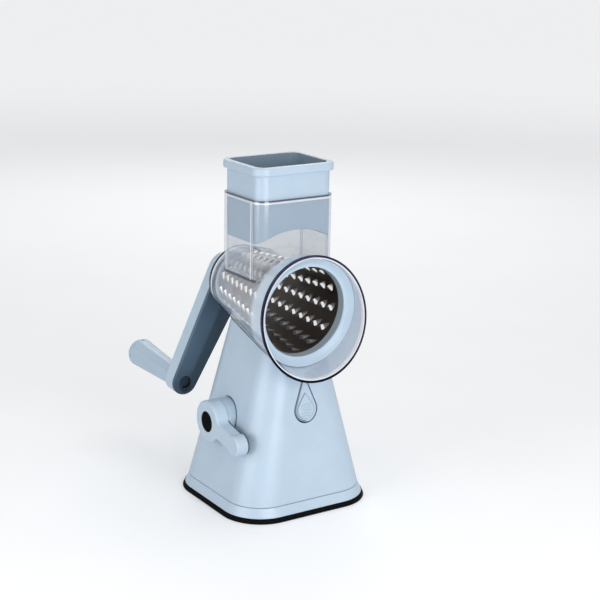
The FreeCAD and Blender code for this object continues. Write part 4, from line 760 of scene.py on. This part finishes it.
class GRATER_OT_drum(bpy.types.Operator):
    """Models the drum's sheet with its punched scoops, whose mouths slant to the back"""

    bl_idname = "grater.drum"
    bl_label = "Toothed drum"

    rows = 13
    teeth = 9
    first_row = math.radians(11.1)
    first_tooth = -31.2 * MM
    pitch = 9.1 * MM
    length = 7.0 * MM
    half_width = 3.0 * MM
    slot = 2.3 * MM
    slot_share = 0.80
    slant = math.radians(41.0)
    margin = 0.9 * MM
    columns = 9
    lines = 6

    def execute(self, context):
        sizes = context.scene.grater_sizes
        self.height = sizes.tooth_height
        self.half_cell = math.pi / self.rows * DRUM_RADIUS
        piece = self.one_cell()
        self.repeat(piece)
        self.run_out(piece)
        shape_points(piece, self.roll_up)
        close_mesh(20 * TINY)
        wall = piece.modifiers.new("wall", "SOLIDIFY")
        wall.thickness = sizes.drum_sheet
        wall.offset = -1.0
        bpy.ops.object.modifier_apply(modifier="wall")
        tilt = Matrix.Translation(DRUM_MIDDLE) @ Matrix.Rotation(AXIS_TILT, 4, "X")
        for vertex in piece.data.vertices:
            vertex.co = tilt @ vertex.co
        material = punched_steel(context.scene.grater_colours.steel)
        dress_piece(piece, material, "crank", "grating_drum", angle=38.0)
        return {"FINISHED"}

    def one_cell(self):
        """A flat patch of sheet with one scoop, drawn up from a grid."""
        fresh()
        bpy.ops.mesh.primitive_grid_add(
            x_subdivisions=self.columns, y_subdivisions=self.lines, size=1.0)
        piece = bpy.context.object
        piece.scale = (2 * self.half_cell, self.pitch, 1.0)
        editing(piece, "scoop_drum")
        starts, ends = self.grid_places()
        widths = [end.x for end in ends]
        levels = [end.y for end in ends]
        middle = (min(widths) + max(widths)) / 2
        self.shift = Vector((middle, (min(levels) + max(levels)) / 2, 0))
        for start, end in zip(starts, ends):
            self.pull(piece, start, end - self.shift)
        reach = max(widths) - middle + self.margin
        for column, side in ((1, -1), (self.columns - 1, 1)):
            self.pull_column(piece, self.grid_x(column), side * reach)
        self.open_slot(piece)
        return piece

    def grid_x(self, column):
        """Where a column of the plain grid stands."""
        return (2 * column / self.columns - 1) * self.half_cell

    def grid_places(self):
        """The grid's inner points, and where each lies on the scoop or round its slot."""
        starts, ends = [], []
        shares = (0.0, 0.3, 0.6, 0.85, 1.0, None)
        sides = (-1.0, -0.55, 0.0, 0.55, 1.0)
        for column, share in enumerate(shares):
            for line, side in enumerate(sides):
                level = ((line + 1) / self.lines - 0.5) * self.pitch
                starts.append(Vector((self.grid_x(column + 2), level, 0)))
                ends.append(self.scoop_point(share, side))
        return starts, ends

    def scoop_point(self, share, side):
        """A point of the scoop's cone from its tail at 0 to its mouth at 1, or past its slot."""
        mouth_radius = (self.half_width ** 2 + self.height ** 2) / (2 * self.height)
        depth = mouth_radius - self.height
        if share is None:
            spread = self.half_width * self.slot_share * side
            point = Vector((self.length / 2 + self.slot, spread, 0))
        else:
            radius = depth + self.height * share
            turn = math.acos(min(1.0, depth / radius)) * side
            point = Vector((
                self.length * (share - 0.5), radius * math.sin(turn),
                radius * math.cos(turn) - depth,
            ))
        return Matrix.Rotation(self.slant, 3, "Z") @ point

    @staticmethod
    def pull(piece, start, end):
        """Moves one point of the patch."""
        select_where(piece, lambda v: (v.co - start).length < 10 * TINY)
        bpy.ops.transform.translate(value=end - start)

    @staticmethod
    def pull_column(piece, start, end):
        """Moves the points of the plain grid's column that stand beside the scoop."""
        select_where(piece, lambda v: abs(v.co.x - start) < 10 * TINY and abs(v.co.z) < TINY)
        bpy.ops.transform.translate(value=(end - start, 0, 0))

    def open_slot(self, piece):
        """Removes the sheet between the scoop's mouth and the end of its slot."""
        turned = Matrix.Rotation(-self.slant, 3, "Z")

        def in_slot(face):
            middle = turned @ (face.calc_center_median() + self.shift)
            beyond = middle.x - self.length / 2
            return 0.2 * self.slot < beyond < 0.8 * self.slot and abs(middle.y) < self.half_width

        select_where(piece, in_slot, "FACE")
        bpy.ops.mesh.delete(type="FACE")

    def repeat(self, piece):
        """Copies the cell round the drum and along it."""
        bpy.ops.object.mode_set(mode="OBJECT")
        steps = (("round", self.rows, (2 * self.half_cell, 0, 0)),
                 ("along", self.teeth, (0, self.pitch, 0)))
        for name, count, step in steps:
            copies = piece.modifiers.new(name, "ARRAY")
            copies.count = count
            copies.use_relative_offset = False
            copies.use_constant_offset = True
            copies.constant_offset_displace = step
            bpy.ops.object.modifier_apply(modifier=name)
        bpy.ops.object.mode_set(mode="EDIT")
        bpy.ops.mesh.select_all(action="SELECT")
        bpy.ops.mesh.remove_doubles(threshold=20 * TINY)

    def run_out(self, piece):
        """Extends the sheet to the drum's front and back edges."""
        front = -self.pitch / 2
        back = (self.teeth - 0.5) * self.pitch
        for edge, end in ((front, DRUM_FRONT), (back, DRUM_BACK)):
            select_where(piece, self.border_test(edge), "EDGE")
            extrude(0, end - self.first_tooth - self.shift.y - edge, 0)

    @staticmethod
    def border_test(place):
        """A test for the edges that lie along a border of the flat sheet."""
        return lambda edge: all(abs(v.co.y - place) < 10 * TINY for v in edge.verts)

    def roll_up(self, point):
        """Rolls the flat sheet into the drum's cone, with the scoops at their true width."""
        row = round(point.x / (2 * self.half_cell))
        local = point.x - row * 2 * self.half_cell
        along = self.first_tooth + self.shift.y + point.y
        radius = DRUM_RADIUS - DRUM_SLOPE * along
        on_border = abs(local) > self.half_cell - 10 * TINY
        turn = self.first_row + row * math.tau / self.rows
        turn += (local + self.shift.x) / (DRUM_RADIUS if on_border else radius)
        radius += point.z
        return Vector((radius * math.sin(turn), along, radius * math.cos(turn)))


class GRATER_OT_collar(bpy.types.Operator):
    """Models the funnel ring on the drum's mouth with its rounded lips"""

    bl_idname = "grater.collar"
    bl_label = "Drum collar"

    def execute(self, context):
        mouth = DRUM_RADIUS - DRUM_SLOPE * DRUM_FRONT
        back = -40.0 * MM
        front = -48.3 * MM
        lip = DRUM_FRONT - 1.6 * MM
        gap = BARREL_WALL + 0.5 * MM
        outer_front = BARREL_RADIUS - BARREL_SLOPE * front - gap
        outer_back = BARREL_RADIUS - BARREL_SLOPE * back - gap
        bore = DRUM_RADIUS - DRUM_SLOPE * back + 0.1 * MM
        sheet = mouth - 0.8 * MM
        soft = 0.4 * MM
        # The bore round the drum, the rounded inner lip, the funnel and its rounded front edge
        rings = [
            (back, bore), (DRUM_FRONT, mouth + 0.1 * MM), (DRUM_FRONT, sheet),
            (lip + soft, sheet), (lip + 0.3 * soft, sheet + 0.3 * soft), (lip, sheet + soft),
            (lip, mouth + 1.2 * MM), (lip - 0.3 * soft, mouth + 1.6 * MM),
            (front + soft, outer_front - 1.0 * MM), (front, outer_front - 0.6 * MM),
            (front + 0.3 * soft, outer_front - 0.1 * MM), (front + soft, outer_front),
            (back, outer_back), (back, bore),
        ]
        piece = extruded_rings("funnel_collar", 96, rings)
        turn_onto_axis(piece, DRUM_MIDDLE)
        material = moulded_plastic("collar_plastic", context.scene.grater_colours.blue, 0.5 * MM)
        finish_piece(piece, material, "crank", "drum_collar", angle=30.0)
        return {"FINISHED"}


class GRATER_OT_grip(bpy.types.Operator):
    """Models the fluted grip and its domed cap"""

    bl_idname = "grater.grip"
    bl_label = "Turning grip"

    start = 82.8 * MM
    length = 63.4 * MM
    start_radius = 9.0 * MM
    end_radius = 12.3 * MM
    round_start = 1.0 * MM
    soft = 0.3 * MM
    bore = 3.6 * MM
    pocket = 7.0 * MM
    pocket_depth = 8.0 * MM
    cap_length = 11.0 * MM
    flutes = 8
    flute_half = 2.3 * MM
    flute_start = 4.4 * MM
    flute_full = 9.0 * MM

    def execute(self, context):
        colour = context.scene.grater_colours.grip
        self.depth = context.scene.grater_sizes.flute_depth
        material = moulded_plastic("grip_plastic", colour, 0.3 * MM, rough=0.26)
        self.model_grip(material)
        self.model_cap(material)
        return {"FINISHED"}

    def radius(self, place):
        """Outer radius of the grip between the flutes."""
        share = (place - self.start) / self.length
        return self.start_radius + (self.end_radius - self.start_radius) * share

    def model_grip(self, material):
        """The turned and fluted body with the bore for its axle."""
        end = self.start + self.length
        first = self.start_radius
        full = self.start + self.round_start
        rings = [(self.start, self.bore), (self.start, first - 1.2 * MM),
                 (self.start + self.soft, first - 0.4 * MM), (full, first)]
        steps = 22
        for step in range(1, steps):
            place = full + (end - 2 * self.soft - full) * step / steps
            rings.append((place, self.radius(place)))
        pocket_start = end - self.pocket_depth
        rings += [(end - self.soft, self.end_radius), (end, self.end_radius - self.soft),
                  (end, self.pocket), (pocket_start, self.pocket), (pocket_start, self.bore),
                  (self.start, self.bore)]
        piece = extruded_rings("fluted_grip", 12 * self.flutes, rings)
        shape_points(piece, self.flute)
        turn_onto_axis(piece, GRIP_MIDDLE)
        finish_piece(piece, material, "grip", "handle_grip", angle=40.0)

    def flute(self, point):
        """Draws the skin of the grip in where a flute runs."""
        radius = math.hypot(point.x, point.y)
        if radius < self.pocket + 0.1 * MM:
            return point
        step = math.tau / self.flutes
        turn = math.atan2(point.y, point.x)
        off_middle = (turn - step * round(turn / step)) * radius / self.flute_half
        into = (point.z - self.start - self.flute_start) / (self.flute_full - self.flute_start)
        if abs(off_middle) >= 1 or into <= 0:
            return point
        fade = math.sin(min(1.0, into) * math.pi / 2)
        dip = self.depth * fade * math.cos(off_middle * math.pi / 2)
        share = (radius - dip) / radius
        return Vector((point.x * share, point.y * share, point.z))

    def model_cap(self, material):
        """The domed cap with its plug."""
        end = self.start + self.length
        rim = 0.2 * self.cap_length
        rise = self.cap_length - rim
        dome = (self.end_radius ** 2 + rise ** 2) / (2 * rise)
        half = math.asin(self.end_radius / dome)
        plug = self.pocket - 0.05 * MM
        plug_end = end - 2.0 * MM
        rings = [(plug_end, 0.5 * MM), (plug_end, plug), (end, plug),
                 (end, self.end_radius - self.soft), (end + self.soft, self.end_radius),
                 (end + rim, self.end_radius)]
        steps = 12
        for step in range(1, steps):
            turn = half * (1 - step / steps)
            place = end + self.cap_length - dome + dome * math.cos(turn)
            rings.append((place, dome * math.sin(turn)))
        piece = extruded_rings("grip_dome", 64, rings)
        bpy.ops.mesh.edge_face_add()
        bpy.ops.mesh.poke()
        select_where(piece, lambda v: v.co.z < plug_end + TINY and v.co.xy.length < 1.0 * MM)
        bpy.ops.mesh.edge_face_add()
        turn_onto_axis(piece, GRIP_MIDDLE)
        finish_piece(piece, material, "grip", "grip_cap", angle=30.0)


class GRATER_OT_blue_mouldings(bpy.types.Operator):
    """Gives the blue mouldings their satin plastic"""

    bl_idname = "grater.blue_mouldings"
    bl_label = "Blue mouldings"

    def execute(self, context):
        plastics = (
            ("base_plastic", 0.7 * MM, lever_seat, "base_column", "base_skirt"),
            ("arm_plastic", 0.4 * MM, None, "crank_arm"),
            ("lever_plastic", 0.4 * MM, lever_gap, "suction_lever"),
            ("button_plastic", 0.4 * MM, button_lines, "release_button"),
            ("pusher_plastic", 0.6 * MM, pusher_recess_shade, "food_pusher"),
        )
        colour = context.scene.grater_colours.blue
        for name, edge, shadow, *nodes in plastics:
            paint_nodes(moulded_plastic(name, colour, edge, shadow=shadow), *nodes)
        return {"FINISHED"}


class GRATER_OT_clear_housing(bpy.types.Operator):
    """Gives the housing its clear plastic"""

    bl_idname = "grater.clear_housing"
    bl_label = "Clear housing"

    def execute(self, context):
        colours = context.scene.grater_colours
        paint_nodes(clear_housing(colours.clear, colours.rim), "food_chamber")
        return {"FINISHED"}


class GRATER_OT_fittings(bpy.types.Operator):
    """Gives the inner fittings, the shaft and the arm's insert their finishes"""

    bl_idname = "grater.fittings"
    bl_label = "Fittings"

    def execute(self, context):
        paint_nodes(shaded_arm_insert(context.scene.grater_colours.arm_shade), "crank_arm_cover")
        nylon = plain_moulding("natural_nylon", tone(222, 221, 212), tone(238, 237, 230))
        paint_nodes(nylon, "lift_plate", "pull_yoke", "outer_bush", "inner_bush", "axle_washer")
        pale = plain_moulding("pale_plastic", tone(196, 207, 218), tone(208, 218, 228))
        paint_nodes(pale, "drum_hub", "detent_button")
        black = plain_moulding("black_plastic", tone(4, 4, 5), tone(8, 8, 9), 0.45, 1.08)
        paint_nodes(black, "lever_shaft")
        zinc = plain_steel("zinc_steel", tone(190, 193, 196))
        paint_nodes(zinc, "pull_rod", "rod_nut", "base_screws", "latch_pin", "axle_nut")
        dark = plain_steel("dark_steel", tone(70, 82, 94), 0.34)
        paint_nodes(dark, "grip_axle")
        spring = plain_steel("spring_steel", tone(160, 160, 162), 0.3)
        paint_nodes(spring, "latch_spring", "detent_spring", "shaft_circlip")
        return {"FINISHED"}


class GRATER_OT_springs(bpy.types.Operator):
    """Copies the two coil springs onto the bodies they ride on, in place of the CAD springs"""

    bl_idname = "grater.springs"
    bl_label = "Springs"

    release_turn = math.radians(6.0)
    detent_travel = 3.8 * MM

    def execute(self, context):
        low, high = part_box("latch_spring")
        drop = JOINTS["release_press"]["pos_m"][2] - low.z
        share = drop * math.sin(self.release_turn) / (high.y - low.y)
        self.shorten("latch_spring", "latch_coil", "base", "release_press", (0, 1, 0), high, share)
        low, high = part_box("detent_spring")
        share = self.detent_travel / (high.z - low.z)
        outwards = (0, -DRUM_AXIS.z, DRUM_AXIS.y)
        self.shorten("detent_spring", "detent_coil", "crank", "detent_press", outwards, low, share)
        return {"FINISHED"}

    @staticmethod
    def shorten(node, name, body, joint, axis, end, share):
        """A copy of a spring that is hung on its body, with the spring itself hidden."""
        fresh()
        NODES[node].select_set(True)
        bpy.context.view_layer.objects.active = NODES[node]
        bpy.ops.object.duplicate()
        bpy.ops.object.parent_clear(type="CLEAR_KEEP_TRANSFORM")
        piece = bpy.context.object
        piece.name = piece.data.name = name
        for key in list(piece.keys()):
            del piece[key]
        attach(piece, body)
        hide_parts(node)
        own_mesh(piece)


class GRATER_OT_stage(bpy.types.Operator):
    """Sets the floor, the pale surroundings, the lamps and the camera"""

    bl_idname = "grater.stage"
    bl_label = "Stage"

    aim = Vector((10.8, 16.9, 134.1)) * MM
    shift_x = 0.0418
    shift_y = 0.0475
    soft_light = 0.42
    seen_share = 0.71
    mirrored_share = 0.35
    floor_side = 24.0
    floor_glow = 0.50

    # Name, place, side in metres and power in watts
    lamps = (
        ("front", (-0.05, -0.85, 0.34), 0.60, 4.2),
        ("left", (-0.85, -0.10, 0.32), 0.60, 2.6),
        ("upper", (0.35, -0.20, 1.50), 0.90, 4.0),
        ("rear", (0.65, 1.10, 0.90), 0.80, 4.0),
    )

    def execute(self, context):
        self.strength = context.scene.grater_stage.lamps
        context.scene.view_settings.view_transform = "Standard"
        self.set_world(context)
        self.lay_floor(context)
        for lamp in self.lamps:
            self.hang_lamp(context, *lamp)
        self.set_camera(context)
        return {"FINISHED"}

    def set_world(self, context):
        """White through clear pieces, a little darker for the camera and darker still in
        reflections, and an even soft light otherwise."""
        world = bpy.data.worlds.new("pale_surroundings")
        context.scene.world = world
        paint = Paint(world, "Background")
        seen = paint.ray("Camera") * self.seen_share
        mirrored = paint.ray("Glossy") * self.mirrored_share
        shown = (seen + mirrored).maths("ADD", paint.ray("Transmission"), clamp=True)
        soft = self.soft_light * self.strength
        paint.feed(Color=tone(255, 255, 255), Strength=soft + (1.0 - soft) * shown)

    def lay_floor(self, context):
        """A pale floor that keeps the grater's shadow."""
        fresh()
        bpy.ops.mesh.primitive_plane_add(size=self.floor_side, location=(0, 0, 0))
        floor = editing(context.object, "floor")
        bpy.ops.object.mode_set(mode="OBJECT")
        paint = Paint(bpy.data.materials.new("pale_floor"))
        clouds = paint.noise(9.0)
        paint.feed(Base_Color=paint.blend(clouds, tone(226, 228, 231), tone(232, 234, 236)))
        x, y, _ = paint.axes()
        far = hypotenuse(x, y).rises(0.3, 3.0)
        shown = paint.ray("Camera") * (0.45 + far * 0.55)
        paint.feed(Roughness=0.85, Emission_Strength=self.floor_glow)
        paint.feed(Emission_Color=paint.blend(shown, tone(0, 0, 0), tone(255, 255, 255)))
        floor.data.materials.append(paint.owner)

    def hang_lamp(self, context, name, place, side, power):
        """A broad soft square lamp that looks at the grater's middle."""
        fresh()
        turn = (Vector(place) - self.aim).to_track_quat("Z", "Y").to_euler()
        bpy.ops.object.light_add(type="AREA", location=place, rotation=turn)
        lamp = context.object
        lamp.name = name + "_lamp"
        lamp.data.size = side
        lamp.data.energy = power * self.strength

    def set_camera(self, context):
        """The camera at the picture's viewing angle."""
        stage = context.scene.grater_stage
        azimuth, elevation = stage.azimuth, stage.elevation
        back = Vector((
            math.sin(azimuth) * math.cos(elevation),
            -math.cos(azimuth) * math.cos(elevation),
            math.sin(elevation),
        ))
        level = Vector((math.cos(azimuth), math.sin(azimuth), 0))
        upright = back.cross(level)
        right = level * math.cos(stage.roll) + upright * math.sin(stage.roll)
        up = back.cross(right)
        turn = Matrix((right, up, back)).transposed().to_euler()
        fresh()
        place = self.aim + back * stage.distance
        bpy.ops.object.camera_add(location=place, rotation=turn)
        camera = context.object
        camera.data.lens = stage.lens
        camera.data.sensor_width = 36.0
        camera.data.shift_x = self.shift_x
        camera.data.shift_y = self.shift_y
        context.scene.camera = camera


GROUPS = {
    "grater_colours": GraterColours, "grater_sizes": GraterSizes, "grater_stage": GraterStage,
}
OPERATORS = (
    GRATER_OT_rubber_foot, GRATER_OT_drum, GRATER_OT_collar, GRATER_OT_grip,
    GRATER_OT_blue_mouldings, GRATER_OT_clear_housing, GRATER_OT_fittings,
    GRATER_OT_springs, GRATER_OT_stage,
)


class GRATER_PT_panel(bpy.types.Panel):
    """Lists the grater's pieces and its sizes and colours"""

    bl_label = "Grater"
    bl_idname = "GRATER_PT_panel"
    bl_space_type = "VIEW_3D"
    bl_region_type = "UI"
    bl_category = "Grater"

    def draw(self, context):
        for key in GROUPS:
            group = getattr(context.scene, key)
            box = self.layout.box()
            for name in group.__annotations__:
                box.prop(group, name)
        for operator in OPERATORS:
            self.layout.operator(operator.bl_idname)


CLASSES = (*GROUPS.values(), *OPERATORS, GRATER_PT_panel)


def register():
    for item in CLASSES:
        bpy.utils.register_class(item)
    for name, group in GROUPS.items():
        setattr(bpy.types.Scene, name, bpy.props.PointerProperty(type=group))


def unregister():
    for name in GROUPS:
        delattr(bpy.types.Scene, name)
    for item in reversed(CLASSES):
        bpy.utils.unregister_class(item)


def main():
    """Makes every piece and the stage."""
    register()
    for operator in OPERATORS:
        getattr(bpy.ops.grater, operator.bl_idname.split(".")[1])()
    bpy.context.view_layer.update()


if __name__ == "__main__":
    main()
